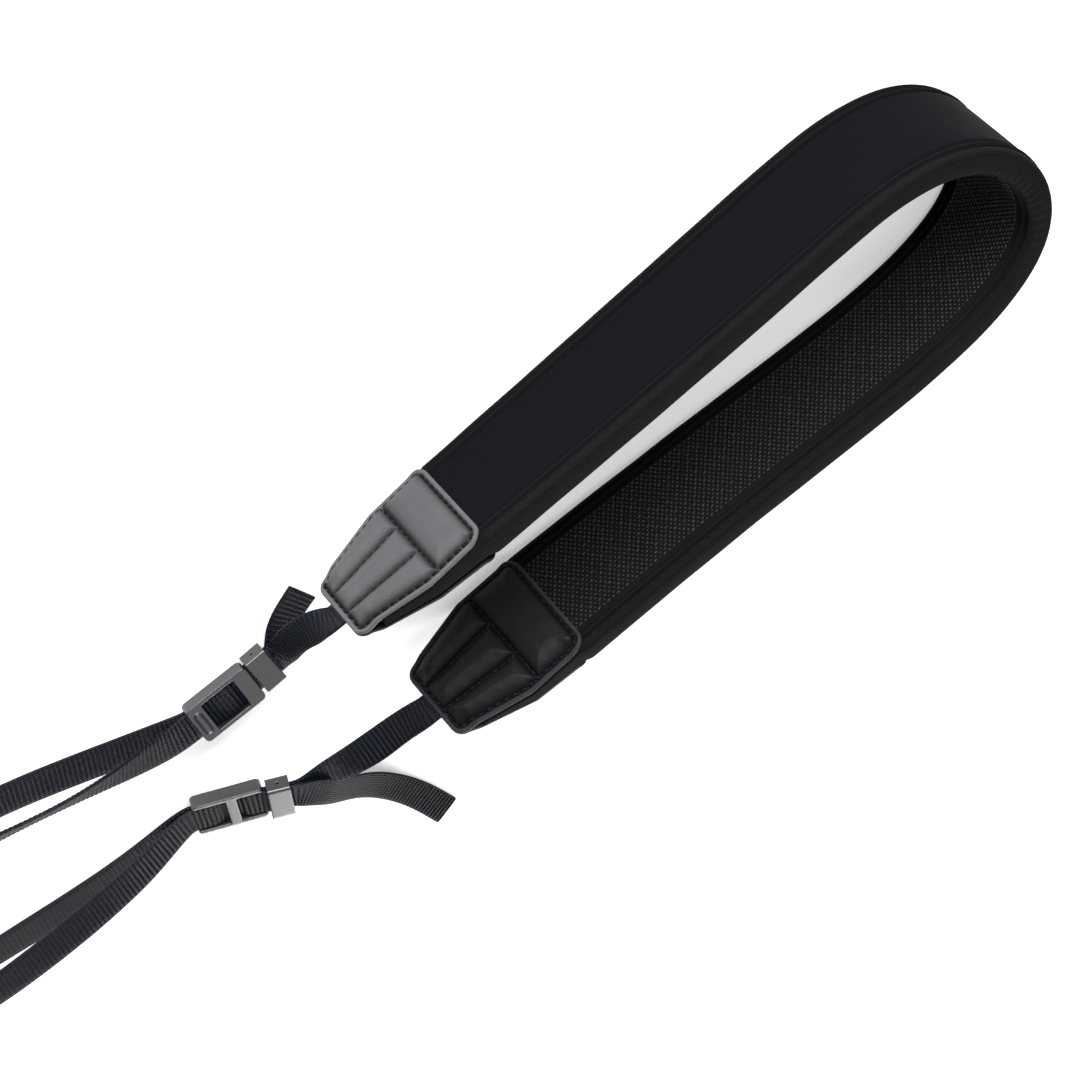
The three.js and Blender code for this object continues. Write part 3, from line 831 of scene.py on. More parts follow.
@dataclass(frozen=True)
class PaddedBand:
    """The band: its pad, the smooth panel outside, the non-slip mesh inside and their stitching."""

    groove_rise: float = 17.5  # where the stitches lie, up or down from the middle
    groove_out: float = 3.0
    stitch: tuple = (2.8, 1.0, 0.9)
    stitch_pitch: float = 3.8
    panel_half: float = 15.35
    panel_top: float = 4.62
    panel_under: float = 3.4
    panel_inset: float = 0.3
    panel_edge: float = 3.55  # how far out the panel's rim stands
    wedge: float = 36.0  # how far the pad runs on between the leaves
    wedge_half: tuple = (19.6, 14.0)
    bend: tuple = (185.0, 320.0)  # from where to where the rings lie close
    wrinkled: tuple = (215, 240, 262, 290)  # where the wrinkles start, are full, fade and end
    wrinkle_pitch: float = 3.1
    wrinkle_depth: float = 0.22
    swell: tuple = (0.10, 34.0)  # the border's slow unevenness: depth and wave
    edge_seam: float = 0.15  # the ridge where the cover closes on the upper edge
    mesh_half: float = 13.9
    knot_inset: float = 2.2
    knot: tuple = (1.75, 0.8, 0.75)
    knot_slant: float = 14.0
    knot_pitch: float = 1.8
    row_pitch: float = 1.1
    face: tuple = (  # rise and out of the pad's face: its bed, lip, stitched groove and rolled border
        (0.0, 3.1), (15.1, 3.1), (15.5, 3.6), (15.75, 4.45), (16.1, 4.95), (16.45, 4.45),
        (16.75, 3.6), (17.15, 3.05), (17.6, 2.95), (17.95, 3.4), (18.2, 4.05), (18.5, 4.38),
    )

    def section(self) -> tuple[Array, Array, Array]:
        """The pad's outline, anticlockwise.

        Returns:
            out with the bed and grooves, out without them, and rise, each for every point.
        """
        half_out, half_rise, radius = BAND.thickness / 2, BAND.width / 2, BAND.edge_radius
        rise, out = np.array(self.face).T
        turn = np.radians(np.linspace(12, 90, 9)[1:])
        corner_out = half_out - radius + radius * np.cos(turn)
        corner_rise = half_rise - radius + radius * np.sin(turn)
        wall = np.linspace(half_out - radius, 0, 5)[1:]
        quarter_out = np.concatenate([out, corner_out, wall])
        quarter_plain = np.concatenate([np.full(len(out), half_out), corner_out, wall])
        quarter_rise = np.concatenate([rise, corner_rise, np.full(len(wall), half_rise)])

        def round_the(quarter: Array, flip_in: int, flip_down: int) -> Array:
            """The quarter outline repeated over all four quarters."""
            first = quarter[:-1]
            second = flip_in * quarter[::-1][:-1]
            third = flip_in * flip_down * first
            fourth = flip_down * quarter[::-1][:-1]
            return np.concatenate([first, second, third, fourth])

        return (round_the(quarter_out, -1, 1), round_the(quarter_plain, -1, 1),
                round_the(quarter_rise, 1, -1))

    def distances(self) -> Array:
        """Where the pad's rings lie: close together round the bend, where the cover wrinkles."""
        front, back = BAND.seams
        bend_in, bend_out = self.bend
        ends = np.arange(0, self.wedge + 0.1, 1.2)
        straight_in = np.arange(front + 0.5, bend_in, 1.3)
        bend = np.arange(bend_in, bend_out, 0.7)
        straight_out = np.arange(bend_out, back - 0.4, 1.3)
        return np.concatenate([front - ends[::-1], straight_in, bend, straight_out, back + ends])

    def pad(self, finish: Material) -> Piece:
        """The foam pad in its cover, with the tapered ends that the leather closes on."""
        bedded, plain, rise = self.section()
        d = self.distances()
        front, back = BAND.seams
        from_seam = np.maximum(front - d, d - back)
        morph = smooth(from_seam, -2.0, 2.0)[:, None]
        half_out = (leaf_gap(from_seam) - GAP)[:, None] / (BAND.thickness / 2)
        half_rise = (tapered(*self.wedge_half, from_seam) / (BAND.width / 2))[:, None]
        out = bedded * (1 - morph) + plain * half_out * morph
        up = rise * (1 - morph + half_rise * morph)
        place = np.stack(np.broadcast_arrays(d[:, None], rise), -1)
        depth, wave = self.swell
        swell = depth * waver(place, wave, 3.0) * np.sign(out) * smooth(np.abs(rise), 18.3, 18.6)
        start, full, fading, end = self.wrinkled
        round_bend = smooth(d, start, full) * (1 - smooth(d, fading, end))
        on_top = smooth(rise, 18.4, 20.3)[None] * smooth(-out, -2.5, 2.0)
        wrinkle = np.sin(d * 2 * math.pi / self.wrinkle_pitch + 0.8 * np.sin(d / 5.0))
        ridge = self.edge_seam * smooth(rise, 20.2, 20.5) * (1 - (out / 2.2) ** 2).clip(0)
        up = up + self.wrinkle_depth * (wrinkle * round_bend)[:, None] * on_top + ridge * (1 - morph)
        rings = BAND.points(d, out + swell * (1 - morph), up)
        around = distances_along(np.stack([plain, rise], -1), closed=True)
        piece = Shell.swept(rings, d, around).piece("padded_band", finish)
        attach(piece, BODY)
        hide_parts("pad_body")
        return piece

    def panel_height(self, rise: Array) -> Array:
        """How far out a panel's face stands at each place up its width: soft edges, a slight crown."""
        edge = smooth(self.panel_half - np.abs(rise), 0.0, 1.9) ** 0.6
        crown = 0.1 * (1 - (rise / self.panel_half) ** 2)
        return self.panel_edge + (self.panel_top - self.panel_edge) * edge + crown

    def panel(self, side: Side, name: str, node: str, finish: Material) -> Piece:
        """One face panel, a thin sheet stretched over the pad.

        Args:
            side: the face it lies on.
            name: the piece's name.
            node: the CAD node that it stands for.
            finish: its material.

        Returns:
            The panel.
        """
        front, back = BAND.seams
        d = np.arange(front + self.panel_inset, back - self.panel_inset, 1.2)
        d = np.append(d, back - self.panel_inset)
        edge = np.linspace(self.panel_half, 13.4, 10)
        top_rise = np.concatenate([edge, np.linspace(12, -12, 13), -edge[::-1]])
        under_rise = np.linspace(-self.panel_half, self.panel_half, 6)
        rise = np.concatenate([top_rise, under_rise])
        out = np.concatenate([self.panel_height(top_rise), np.full(len(under_rise), self.panel_under)])
        n = len(d)
        rings = BAND.points(d, np.tile(side.value * out, (n, 1)), np.tile(rise, (n, 1)))
        around = np.concatenate([rise, rise[:1]])
        piece = Shell.swept(rings, d, around).piece(name, finish)
        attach(piece, BODY)
        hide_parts(node)
        return piece

    def knots(self, repeater: Repeater, finish: Material) -> Piece:
        """The raised knots and floats of the mesh panel, in staggered rows."""
        front, back = BAND.seams
        rows = int(self.mesh_half / self.row_pitch)
        first, last = front + self.knot_inset, back - self.knot_inset
        d, rise, long = [], [], []
        for row in range(-rows, rows + 1):
            at = np.arange(first + self.knot_pitch / 2 * (row % 2), last, self.knot_pitch)
            d.append(at)
            rise.append(np.full(len(at), row * self.row_pitch))
            floats = (np.arange(len(at)) + (row + 1) // 2) % 2 == 0  # every second yarn floats on top
            long.append(np.where(floats & (row % 2 == 0), 1.0, 0.6))
        d, rise, long = np.concatenate(d), np.concatenate(rise), np.concatenate(long)
        _, along, outward, upward = BAND.frames(d)
        points = BAND.points(d, -(self.panel_height(rise) + 0.05)[:, None], rise[:, None])[:, 0]
        slant = np.radians(self.knot_slant) * np.where(long == 1.0, 1.0, -1.0)[:, None]
        ways = along * np.cos(slant) + upward * np.sin(slant)
        piece = repeater.row("grip_knots", points, ways, -outward, self.knot, finish,
                             seed=4, uneven=0.3, stretch=long, facets=(6, 3))
        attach(piece, BODY)
        return piece

    def stitching(self, repeater: Repeater, finish: Material) -> Piece:
        """The four rows of stitches in the grooves beside the panels."""
        front, back = BAND.seams
        d = np.arange(front + 1.5, back - 1.5, self.stitch_pitch)
        _, along, outward, _ = BAND.frames(d)
        points, ways, lifts = [], [], []
        for side in Side:
            for up in (-1, 1):
                shape = (len(d), 1)
                points.append(BAND.points(d, np.full(shape, side.value * self.groove_out),
                                          np.full(shape, up * self.groove_rise))[:, 0])
                ways.append(along)
                lifts.append(side.value * outward)
        piece = repeater.row("band_stitches", np.concatenate(points), np.concatenate(ways),
                             np.concatenate(lifts), self.stitch, finish, seed=9)
        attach(piece, BODY)
        return piece


# ---- the leather tabs ---------------------------------------------------------------------------


@dataclass(frozen=True)
class TabLeaf:
    """One leather leaf: a flat stitched rim round a pad across the wide end and three padded flutes."""

    end: End
    side: Side
    overlap: float  # how far its wide end laps over the band's panel
    wide_half: float = 19.4
    narrow_half: float = 13.3
    wide_corner: float = 4.5
    narrow_corner: float = 3.2
    leather: float = 1.15
    rim: float = 2.0
    cross_seam: float = 15.0
    puff: float = 3.0
    shoulder: float = 6.3  # how far from a seam the padding is full
    rounding: float = 0.75  # below 1, the padding rises steeply from its seams
    crease: float = 0.6  # how deep and wide the stitches draw the leather in
    stitch: tuple = (2.3, 1.2, 1.1)
    stitch_pitch: float = 2.9
    lap_height: float = 4.8  # how high its underside lies over the panel
    sewn_height: float = 0.12  # and over the band's middle where the leaves meet
    pocket: tuple = (5.6, 8.0)  # the webbing's pocket, from its side to where the leaves meet
    grid: tuple = (130, 104)

    @property
    def name(self) -> str:
        """The leaf's name."""
        return f"{self.end.label}_leather_{self.side.name.lower()}"

    @property
    def seam(self) -> float:
        """The distance of the wide seam along the band."""
        return BAND.seams[0] if self.end is End.FRONT else BAND.seams[1]

    def half(self, s: Array) -> Array:
        """Half the leaf's width before its corners are rounded."""
        return tapered(self.wide_half, self.narrow_half, s)

    def corners(self, s: Array) -> tuple:
        """How far each s lies from the leaf's two ends, each with its corners' radius."""
        return (s + self.overlap, self.wide_corner), (BAND.tab_length - s, self.narrow_corner)

    def to_edge(self, s: Array, v: Array) -> Array:
        """How far each place (s from the seam, v across) lies inside the leaf's rounded outline."""
        beside = self.half(s) - np.abs(v)
        nearest = beside
        for ahead, radius in self.corners(s):
            corner = radius - np.hypot(radius - ahead, radius - beside)
            straight = np.minimum(ahead, beside)
            nearest = np.minimum(nearest, np.where((ahead < radius) & (beside < radius), corner, straight))
        return nearest

    def to_seam(self, s: Array, v: Array) -> Array:
        """How far each place lies from the nearest line of stitches."""
        flute = np.abs(np.abs(v) - self.half(s) / 3)
        inner = np.minimum(np.abs(s - self.cross_seam), np.where(s > self.cross_seam, flute, 99.0))
        return np.minimum(np.abs(self.to_edge(s, v) - self.rim), inner)

    def under(self, s: Array, v: Array) -> Array:
        """The leaf's underside: over the panel at the wide end, closing round the webbing at the other."""
        lap = smooth(s, -0.5, 4.0)
        gap = self.lap_height * (1 - lap) + leaf_gap(s) * lap
        closing = smooth(np.abs(v), *self.pocket) * smooth(s, 36.5, 41.0)
        return gap * (1 - closing) + self.sewn_height * closing

    def top(self, s: Array, v: Array) -> Array:
        """The leaf's face above its underside: rounded rim, seams drawn in, padding swollen between."""
        edge, seam = self.to_edge(s, v), self.to_seam(s, v)
        rim = 0.4 + 0.6 * np.sqrt(1 - (1 - np.clip(edge / 0.6, 0, 1)) ** 2)
        swollen = np.sin(np.clip(seam / self.shoulder, 0, 1) * math.pi / 2) ** self.rounding
        padding = np.where(edge > self.rim, self.puff * swollen, 0.0)
        crease = self.crease * np.exp(-((seam / self.crease) ** 2)) * smooth(edge, 0.7, 1.6)
        seed = 2.0 + self.end.value + 3 * self.side.value
        ripple = 0.07 * waver(np.stack([s, v], -1), 8.0, seed) * np.clip(padding, 0, 1)
        return self.under(s, v) + self.leather * rim + padding - crease + ripple

    def surface(self, s: Array, v: Array, height: Array) -> Array:
        """Points at a height over the band's middle, for flat arrays of places."""
        d = self.seam + self.end.value * s
        return BAND.points(d, (self.side.value * height)[:, None], v[:, None])[:, 0]

    def build(self, finish: Material) -> Piece:
        """The leaf as a closed padded plate."""
        rows, columns = self.grid
        easing = (1 - np.cos(np.linspace(0, math.pi, rows))) / 2 * 0.5 + np.linspace(0, 1, rows) * 0.5
        s = -self.overlap + (BAND.tab_length + self.overlap) * easing
        half = self.half(s)
        for ahead, radius in self.corners(s):
            cut = radius - np.sqrt(np.clip(radius**2 - (radius - np.clip(ahead, 0, radius)) ** 2, 0, None))
            half = half - cut
        even = np.linspace(-1, 1, columns)
        across = np.sin(even * math.pi / 2) * 0.35 + even * 0.65
        v = half[:, None] * across
        s_grid = np.broadcast_to(s[:, None], v.shape)
        flat_s, flat_v = s_grid.ravel(), v.ravel()
        top = self.surface(flat_s, flat_v, self.top(flat_s, flat_v)).reshape(rows, columns, 3)
        under = self.surface(flat_s, flat_v, self.under(flat_s, flat_v)).reshape(rows, columns, 3)
        shell = Shell.plate(top, under, np.stack([s_grid, v], -1))
        edge = self.to_edge(flat_s, flat_v)
        wear = np.clip(1.15 - edge / 1.5, 0, 1)
        # painted shade along the seams: strongest on each stitched line, fading within about 1.5 mm, kept off
        # the rim
        seam_closeness = np.exp(-((self.to_seam(flat_s, flat_v) / 1.5) ** 2))
        seam_shade = 0.85 * seam_closeness * smooth(edge, self.rim - 0.8, self.rim)
        shell.attributes["seam_shade"] = np.concatenate([seam_shade, np.zeros(len(seam_shade))])
        shell.attributes["wear"] = np.concatenate([wear, np.zeros(len(wear))]).clip(0, 1)
        piece = shell.piece(self.name, finish)
        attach(piece, BODY)
        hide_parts(f"{self.end.label}_tab_{self.side.name.lower()}")
        return piece

    def outline(self, inset: float) -> Array:
        """The leaf's outline set in by a distance, closed, as (s, v) rows."""
        start, stop = -self.overlap + inset, BAND.tab_length - inset
        s_wide = np.linspace(start + self.wide_corner - inset, BAND.straight, 20)
        s_taper = np.linspace(BAND.straight, stop - self.narrow_corner + inset, 30)[1:]
        side_s = np.concatenate([s_wide, s_taper])
        side = np.stack([side_s, self.half(side_s) - inset], -1)
        turn = np.linspace(0, math.pi / 2, 9)[1:-1]
        r_narrow, r_wide = self.narrow_corner - inset, self.wide_corner - inset
        hinge = self.half(np.array([stop - r_narrow]))[0] - inset - r_narrow
        narrow = np.stack([stop - r_narrow + r_narrow * np.sin(turn), hinge + r_narrow * np.cos(turn)], -1)
        narrow_end = np.array([[stop, hinge], [stop, -hinge]])
        wide_v = self.wide_half - inset - r_wide
        wide = np.stack([start + r_wide - r_wide * np.sin(turn), wide_v + r_wide * np.cos(turn)], -1)
        wide_end = np.array([[start, -wide_v], [start, wide_v]])
        mirror = np.array([1, -1])
        return np.concatenate([side, narrow, narrow_end, (narrow * mirror)[::-1], (side * mirror)[::-1],
                               wide * mirror, wide_end, wide[::-1], side[:1]])

    def seam_lines(self) -> list[Array]:
        """The sewn lines as (s, v) rows: round the rim, across the leaf and between the flutes."""
        reach = self.wide_half - self.rim - 1
        cross = np.array([[self.cross_seam, -reach], [self.cross_seam, reach]])
        flute_s = np.array([self.cross_seam + 1.6, BAND.straight, BAND.tab_length - self.rim - 0.8])
        flutes = [np.stack([flute_s, way * self.half(flute_s) / 3], -1) for way in (-1, 1)]
        return [self.outline(self.rim), cross, *flutes]

    def stitching(self, repeater: Repeater, finish: Material) -> Piece:
        """All the leaf's stitches."""
        points, ways, lifts = [], [], []
        for line in self.seam_lines():
            lengths = distances_along(line)
            count = max(2, round(lengths[-1] / self.stitch_pitch))
            middles = (np.arange(count) + 0.5) * lengths[-1] / count
            before, at, after = (
                np.stack([np.interp(middles + shift, lengths, line[:, k]) for k in (0, 1)], -1)
                for shift in (-0.4, 0.0, 0.4))
            low = self.under(at[:, 0], at[:, 1]) + self.leather - 0.2
            places = [self.surface(p[:, 0], p[:, 1], low) for p in (before, at, after)]
            points.append(places[1])
            ways.append(unit(places[2] - places[0]))
            _, _, outward, _ = BAND.frames(self.seam + self.end.value * at[:, 0])
            lifts.append(self.side.value * outward)
        piece = repeater.row(f"{self.name}_stitches", np.concatenate(points), np.concatenate(ways),
                             np.concatenate(lifts), self.stitch, finish,
                             seed=20 + self.end.value + 2 * self.side.value)
        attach(piece, BODY)
        return piece


# ---- buckles, keepers and webbing ---------------------------------------------------------------


@dataclass(frozen=True)
class Placing:
    """Where a buckle lies, and its keeper behind it; lengths in mm, angles in degrees."""

    x: float
    y: float
    z: float
    turn: float
    pitch: float
    roll: float
    keeper_back: float
    keeper_across: float
    keeper_up: float
    keeper_turn: float
    keeper_roll: float
    face_down: bool

    HEIGHT = 4.8
    PLATE = 1.4
    LAYER_PITCH = 1.5
    STRAP = 1.2
    BAR = -1.0

    def lift(self, layer: float) -> float:
        """The height of a webbing layer's middle in the buckle."""
        return self.HEIGHT / 2 - self.PLATE - GAP - self.STRAP / 2 - layer * self.LAYER_PITCH

    def buckle(self) -> Matrix:
        """The buckle's place."""
        place = Matrix.Translation((self.x, self.y, self.z))
        for angle, axis in ((self.turn, "Z"), (self.pitch, "Y"), (self.roll, "X")):
            place = place @ Matrix.Rotation(math.radians(angle), 4, axis)
        return place @ Matrix.Rotation(math.pi, 4, "X") if self.face_down else place

    def keeper(self) -> Matrix:
        """The keeper's place."""
        flip = -1 if self.face_down else 1
        shift = (-self.keeper_back, flip * self.keeper_across, self.lift(0.5) + flip * self.keeper_up)
        return (self.buckle() @ Matrix.Translation(shift)
                @ Matrix.Rotation(flip * math.radians(self.keeper_turn), 4, "Z")
                @ Matrix.Rotation(math.radians(self.keeper_roll), 4, "X"))

    @staticmethod
    def rows_through(place: Matrix, stations: Sequence[tuple[float, float]]) -> list[tuple]:
        """Webbing rows through a placed piece, from (along, lift) stations."""
        width = place.col[1].to_3d().normalized()
        width *= math.copysign(1, width.y)
        turn = math.degrees(math.atan2(-width.x, width.y))
        tilt = math.degrees(math.asin(width.z))
        return [(*(place @ Vector((along, 0, lift))), turn, tilt) for along, lift in stations]

    def outward(self, layer: int) -> list[tuple]:
        """One layer's rows through keeper and buckle, going out to the camera loop."""
        level = (0.5 - layer) * self.LAYER_PITCH
        under = self.lift(layer)
        over = under + 1.15
        through = [(x, under) for x in (-8.8, -6.8, -4.9)]
        through += [(self.BAR + x, over) for x in (-1.9, 0, 1.9)]
        through += [(x, under) for x in (4.2, 6.6, 9, 12.4)]
        return (self.rows_through(self.keeper(), [(x, level) for x in (-6.8, -4, -1, 1.8)])
                + self.rows_through(self.buckle(), through))


@dataclass(frozen=True)
class WebbingStrap:
    """One narrow strap: sewn into its tab, out round the camera loop and back to a free tail."""

    end: End
    placing: Placing
    from_tab: tuple
    loop: tuple
    tail: tuple
    width: float = 9.8
    core: float = 0.82  # thickness between the ribs
    rib_pitch: float = 1.5
    rib_height: float = 0.27
    samples: int = 7  # rings for each rib

    def rows(self) -> list[tuple]:
        """Every row of the strap's middle line: x, y, z, turn and tilt."""
        inward, at = (1, 0.0) if self.end is End.FRONT else (-1, BAND.curve.length)
        centre, along, _, rise = (value[0] for value in BAND.frames(np.array([at])))
        tilt = math.degrees(math.atan2(rise[2], rise[1]))
        sewn = [(*(centre + along * inward * step), 0.0, tilt) for step in (6.5, 0.0, -3.5)]
        return [*sewn, *self.from_tab, *self.placing.outward(0), *self.loop,
                *self.placing.outward(1)[::-1], *self.tail]

    def curve(self) -> TableCurve:
        """The measured middle line."""
        curve = TableCurve(self.rows())
        curve.measure(3)
        return curve

    def section(self) -> tuple[Array, Array]:
        """The strap's outline with round edges: places across its width and through its thickness."""
        half, thin = self.width / 2, self.core / 2
        turn = np.linspace(-90, 90, 7)
        right = [(half - thin + thin * math.cos(a), thin * math.sin(a)) for a in np.radians(turn)]
        top = [(x, thin) for x in (2.9, 1.4, 0.0, -1.4, -2.9)]
        left = [(-x, -y) for x, y in right]
        under = [(-x, -y) for x, y in top]
        return tuple(np.array([*right, *top, *left, *under]).T)

    def build(self, ribber: Ribber, finish: Material) -> Piece:
        """The ribbed strap."""
        curve = self.curve()
        step = self.rib_pitch / self.samples
        d = np.arange(0, curve.length, step)
        t = curve.t_at(d)
        table = curve.at(t)
        along = unit(curve.slope(t)[:, :3])
        turn, tilt = np.radians(table[:, 3]), np.radians(table[:, 4])
        wide = np.stack([-np.sin(turn) * np.cos(tilt), np.cos(turn) * np.cos(tilt), np.sin(tilt)], -1)
        wide = unit(wide - along * (wide * along).sum(1, keepdims=True))
        face = np.cross(along, wide)
        across, through = self.section()
        rings = (table[:, None, :3] + wide[:, None] * across[:, None] + face[:, None] * through[:, None])
        around = distances_along(np.stack([across, through], -1), closed=True)
        shell = Shell.swept(rings, d, around)
        raised = np.sign(np.round(through, 3)) * smooth(self.width / 2 - np.abs(across), 0.15, 0.6)
        shell.attributes["lift"] = (face[:, None] * raised[:, None]).reshape(-1, 3)
        shell.attributes["distance"] = np.repeat(d, len(across))
        piece = shell.piece(f"{self.end.label}_ribbed_webbing", finish)
        ribber.rib(piece, self.rib_pitch, self.rib_height, finish)
        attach(piece, BODY)
        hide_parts(f"{self.end.label}_webbing")
        log.info("%s is %.0f mm long", piece.name, curve.length)
        return piece


@dataclass(frozen=True)
class MouldedFitting:
    """A buckle or keeper as it leaves the mould: the same shape, its edges and corners softened."""

    node: str
    name: str
    skin: float = 0.17  # the fineness of the softened surface, in mm
    passes: int = 7

    def build(self, finish: Material) -> Piece:
        """The softened fitting, a plain mesh."""
        mesh = frame["nodes"][self.node].data.copy()
        piece = mesh_object(self.name, mesh, finish)
        weld = piece.modifiers.new("weld", "WELD")
        weld.merge_threshold = 0.001 * MM
        skin = piece.modifiers.new("skin", "REMESH")
        skin.mode = "VOXEL"
        skin.voxel_size = self.skin * MM
        skin.use_smooth_shade = True
        soften = piece.modifiers.new("soften", "SMOOTH")
        soften.factor = 0.5
        soften.iterations = self.passes
        baked(piece)
        piece.data.materials.clear()
        piece.data.materials.append(finish)
        piece.data.shade_smooth()
        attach(piece, BODY)
        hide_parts(self.node)
        return piece


FRONT_PLACING = Placing(98.7, -26.1, 5.2, -7, 0, 16, 15, -0.4, 0, 3, -4, face_down=False)
BACK_PLACING = Placing(121, 8.3, 6.4, -21, 18.5, -3, 15.2, 0.6, 0.6, -3, 0, face_down=True)

FRONT_STRAP = WebbingStrap(
    End.FRONT, FRONT_PLACING,
    from_tab=((65, -36.6, 16.6, 0, 70), (71.5, -31.2, 10, -2, 38)),
    loop=(
        (118, -30, 6.6, -18, 10), (128, -36, 9, -26, -8), (138, -42, 11, -28, -24),
        (150, -48.5, 12.4, -27, -36), (165, -56, 12.6, -26, -36), (182, -63, 11.6, -24, -24),
        (197, -68, 10, -20, -12), (205, -70.5, 7.4, -18, -6), (205, -70.5, 3.4, -18, 0),
        (197, -69, 1.6, -20, 4), (182, -65, 1.9, -24, 10), (163, -58, 2.4, -28, 14),
        (145, -47.5, 2.6, -29, 16), (130, -38, 2.8, -27, 17), (119, -31.5, 3.2, -18, 18)),
    tail=((73, -28.6, 2.2, 8, 10), (67.5, -31.6, 1.8, 16, 8), (60, -34.2, 2, 16, 12)),
)
BACK_STRAP = WebbingStrap(
    End.BACK, BACK_PLACING,
    from_tab=((67, 23, 17, -2, 72), (77, 24, 15, -4, 52), (87, 23.4, 13, -12, 24), (95, 20.4, 12, -20, 4)),
    loop=(
        (139, 3.8, 1.6, -16, 1), (150, 2.8, 1.9, -14, 6), (164, -0.2, 2.3, -15, 10),
        (180, -4.6, 2.2, -15, 10), (200, -10, 1.5, -15, 7), (220, -15.2, 0.9, -14, 2),
        (233, -18.4, 2, -14, 2), (238, -19.6, 6.4, -14, 3), (233, -18.4, 11, -14, 7),
        (221, -15.6, 13.6, -14, 12), (204, -11.8, 14.6, -14, 18), (185, -7.2, 13.4, -14, 22),
        (168, -2.9, 11.2, -14, 22), (151, 1.4, 8, -13, 14), (139, 3.2, 4.8, -14, 4)),
    tail=(
        (98, 24, 14, -38, -2), (95.8, 31.5, 11.2, -56, -2), (93, 39.5, 7.2, -62, 0),
        (89, 48.5, 3.6, -65, 0), (84.9, 60, 1.2, -70, 0), (81.3, 72.5, 0.8, -77, 2),
        (79.2, 87.5, 1.2, -84, 6)),
)


# ---- the plain stage ----------------------------------------------------------------------------


@dataclass(frozen=True)
class Softbox:
    """One soft rectangular light that faces the strap's middle."""

    name: str
    place: tuple
    size: tuple
    watts: float

    AIM = (0, 0, 0.02)

    def build(self) -> None:
        """Hangs the light."""
        light = bpy.data.lights.new(self.name, "AREA")
        light.shape = "RECTANGLE"
        light.size, light.size_y = self.size
        light.energy = self.watts
        lamp = bpy.data.objects.new(self.name, light)
        lamp.location = self.place
        aim = Vector(self.AIM) - Vector(self.place)
        lamp.rotation_euler = aim.to_track_quat("-Z", "Y").to_euler()
        bpy.context.scene.collection.objects.link(lamp)


@dataclass(frozen=True)
class Studio:
    """A pale floor, soft lights and the camera."""

    floor_size: float = 8.0
    floor_shade: str = "#f2f2f2"
    world_shade: str = "#f4f5f6"
    world_strength: float = 0.20
    glow: float = 0.42  # a light table's glow, which lights the strap's undersides
    elevation: float = 40.0
    roll: float = 137.0
    lens: float = 120.0
    distance: float = 1.05
    target_height: float = 20.0
    lights: tuple = (
        Softbox("key", (-0.6, -1.5, 0.62), (1.5, 0.9), 74.0),
        Softbox("fill", (0.3, 0.2, 2.6), (2.6, 2.6), 26.0),
        Softbox("rim", (0.5, 1.6, 0.7), (1.2, 0.6), 34.0),
    )

    def build(self) -> None:
        """Sets the whole stage."""
        half = self.floor_size / 2
        corners = [(x * half, y * half, 0) for x, y in ((-1, -1), (1, -1), (1, 1), (-1, 1))]
        mesh = bpy.data.meshes.new("floor")
        mesh.from_pydata(corners, [], [(0, 1, 2, 3)])
        paper = bpy.data.materials.new("matt paper backdrop")
        paper.use_nodes = True
        tree = paper.node_tree
        surface = tree.nodes["Principled BSDF"]
        place = add_node(tree, "ShaderNodeTexCoord").outputs["Object"]
        fibres = add_node(tree, "ShaderNodeTexNoise", {"Vector": place, "Scale": 900.0, "Detail": 2.0})
        tint = add_node(tree, "ShaderNodeMix", {
            0: fibres.outputs["Fac"], 6: linear(self.floor_shade), 7: linear("#f6f6f6")}, data_type="RGBA")
        tree.links.new(tint.outputs[2], surface.inputs["Base Color"])
        surface.inputs["Roughness"].default_value = 0.9
        surface.inputs["Specular IOR Level"].default_value = 0.1
        surface.inputs["Emission Color"].default_value = linear(self.world_shade)
        surface.inputs["Emission Strength"].default_value = self.glow
        mesh_object("floor", mesh, paper)
        world = bpy.data.worlds.new("soft room")
        bpy.context.scene.world = world
        world.use_nodes = True
        sky = world.node_tree.nodes["Background"]
        sky.inputs["Color"].default_value = linear(self.world_shade)
        sky.inputs["Strength"].default_value = self.world_strength
        for light in self.lights:
            light.build()
        bpy.context.scene.view_settings.view_transform = "Standard"
        self.camera()

    def camera(self) -> None:
        """The camera, above the front run and rolled so that the strap lies across the view."""
        up_angle, roll = math.radians(self.elevation), math.radians(self.roll)
        forward = Vector((0, math.cos(up_angle), -math.sin(up_angle)))
        level, steep = Vector((1, 0, 0)), Vector((0, math.sin(up_angle), math.cos(up_angle)))
        right = level * math.cos(roll) + steep * math.sin(roll)
        up = -level * math.sin(roll) + steep * math.cos(roll)
        target = Vector((-MIDDLE[0], -MIDDLE[1], self.target_height)) * MM
        lens = bpy.data.cameras.new("camera")
        lens.lens = self.lens
        lens.sensor_width = 36.0
        lens.clip_start, lens.clip_end = 0.05, 50.0
        camera = bpy.data.objects.new("camera", lens)
        turned = Matrix((right, up, -forward)).transposed().to_4x4()
        camera.matrix_world = Matrix.Translation(target - forward * self.distance) @ turned
        bpy.context.scene.collection.objects.link(camera)
        bpy.context.scene.camera = camera


# ---- the whole strap ----------------------------------------------------------------------------


def report(piece: Piece) -> None:
    """Logs one finished piece."""
    log.info("%s: %d faces", piece.name, len(piece.data.polygons))


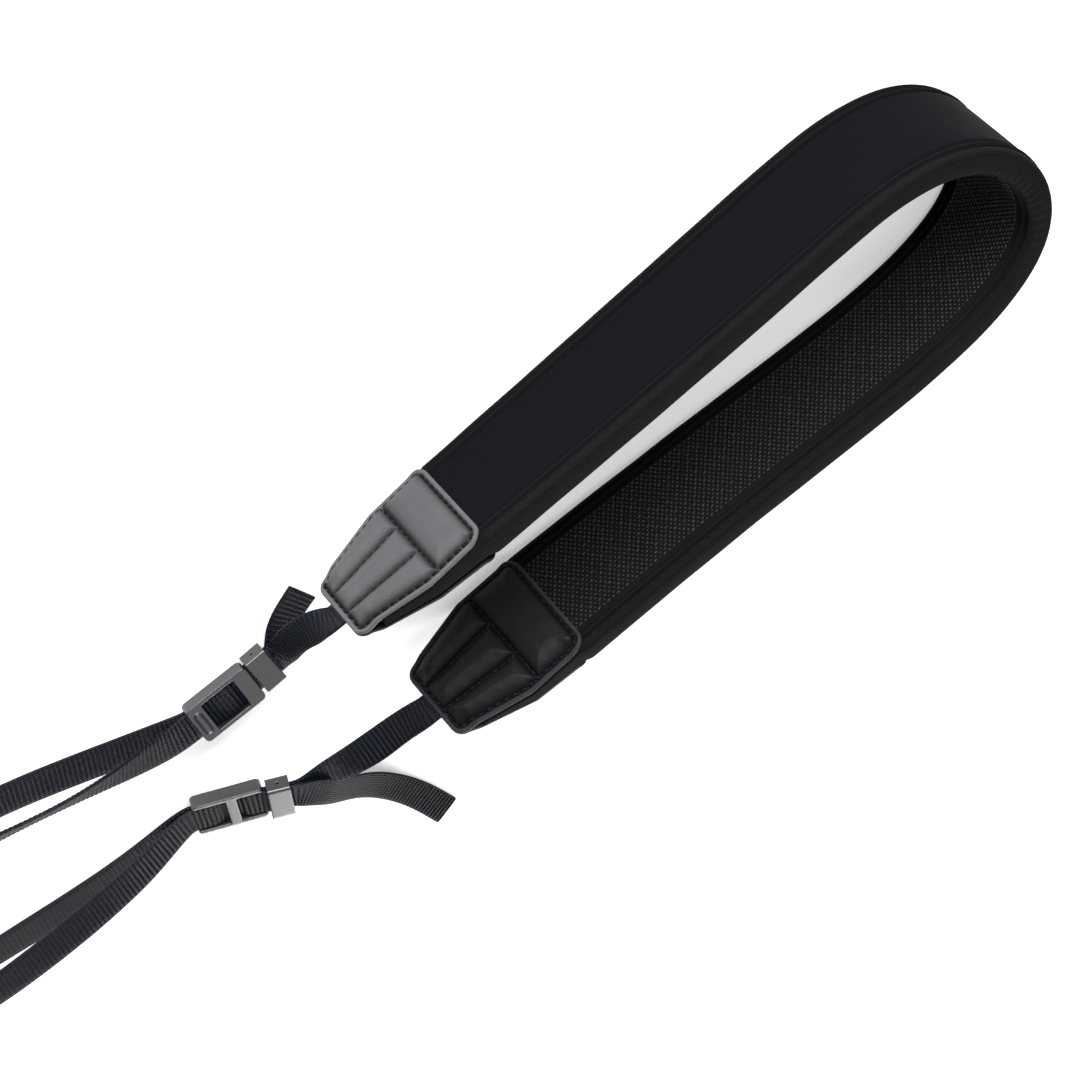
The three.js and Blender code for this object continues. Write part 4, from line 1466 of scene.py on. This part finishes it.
def main() -> None:
    """Builds the strap, piece by piece."""
    logging.basicConfig(level=logging.INFO, format="%(name)s: %(message)s")
    Studio().build()
    repeater, ribber = Repeater("beads in a row"), Ribber("ribs across a strap")

    cover = KnittedCover("polyester jersey, knitted", "#08090b", "#0d0e10", 0.8, 0.07).material()
    skin = SmoothSkin("neoprene, smooth skin", "#050609", "#07080b", 0.78, 0.05).material()
    mesh = OpenMesh("spacer mesh, raschel knitted", "#08090a", "#0e1012", 0.85, 0.08, patch=60.0).material()
    knot = BondedThread(
        "mesh yarn, coated non-slip", "#15161a", "#1e2025", 0.6, 0.28, patch=60.0).material()
    thread = BondedThread("nylon thread, bonded", "#050506", "#0a0a0b", 0.65, 0.12).material()
    # each leather's seam shade colour is painted shade for its stitched creases
    grey_hide = GrainedLeather(
        "leather, corrected grain", "#3b3c3e", "#454648", 0.56, 0.22,
        scuffed="#4c4d4f", seam_shade_colour="#0d0d0e").material()
    black_hide = GrainedLeather(
        "leather, dressed black", "#0a0b0d", "#101113", 0.56, 0.12,
        scuffed="#2a2b2f", seam_shade_colour="#030304").material()
    # the webbing's near-black dark colour is painted shade for the valleys between its ribs
    nylon = NylonWebbing("nylon webbing, woven", "#000001", "#0d1626", 0.5, 0.14).material()
    plastic = MouldedPlastic("acetal, injection moulded", "#161719", "#1d1e20", 0.3, 0.8).material()

    band = PaddedBand()
    report(band.pad(cover))
    outer = band.panel(Side.OUTER, "smooth_face", "outer_panel", skin)
    grip = band.panel(Side.INNER, "grip_face", "grip_panel", mesh)
    knots = band.knots(repeater, knot)
    length = (BAND.seams[1] - BAND.seams[0] - 2 * band.panel_inset) * MM
    for piece in (outer, grip, knots, band.stitching(repeater, thread)):
        report(piece)

    for end, side, overlap, hide in (
        (End.FRONT, Side.OUTER, 1.5, grey_hide), (End.FRONT, Side.INNER, 1.5, black_hide),
        (End.BACK, Side.OUTER, 1.5, grey_hide), (End.BACK, Side.INNER, 3.0, black_hide)):
        leaf = TabLeaf(end, side, overlap)
        report(leaf.build(hide))
        report(leaf.stitching(repeater, thread))

    for strap in (FRONT_STRAP, BACK_STRAP):
        report(strap.build(ribber, nylon))
    for end in End:
        for kind in ("buckle", "keeper"):
            report(MouldedFitting(f"{end.label}_{kind}", f"{end.label}_moulded_{kind}").build(plastic))


if __name__ == "__main__":
    main()
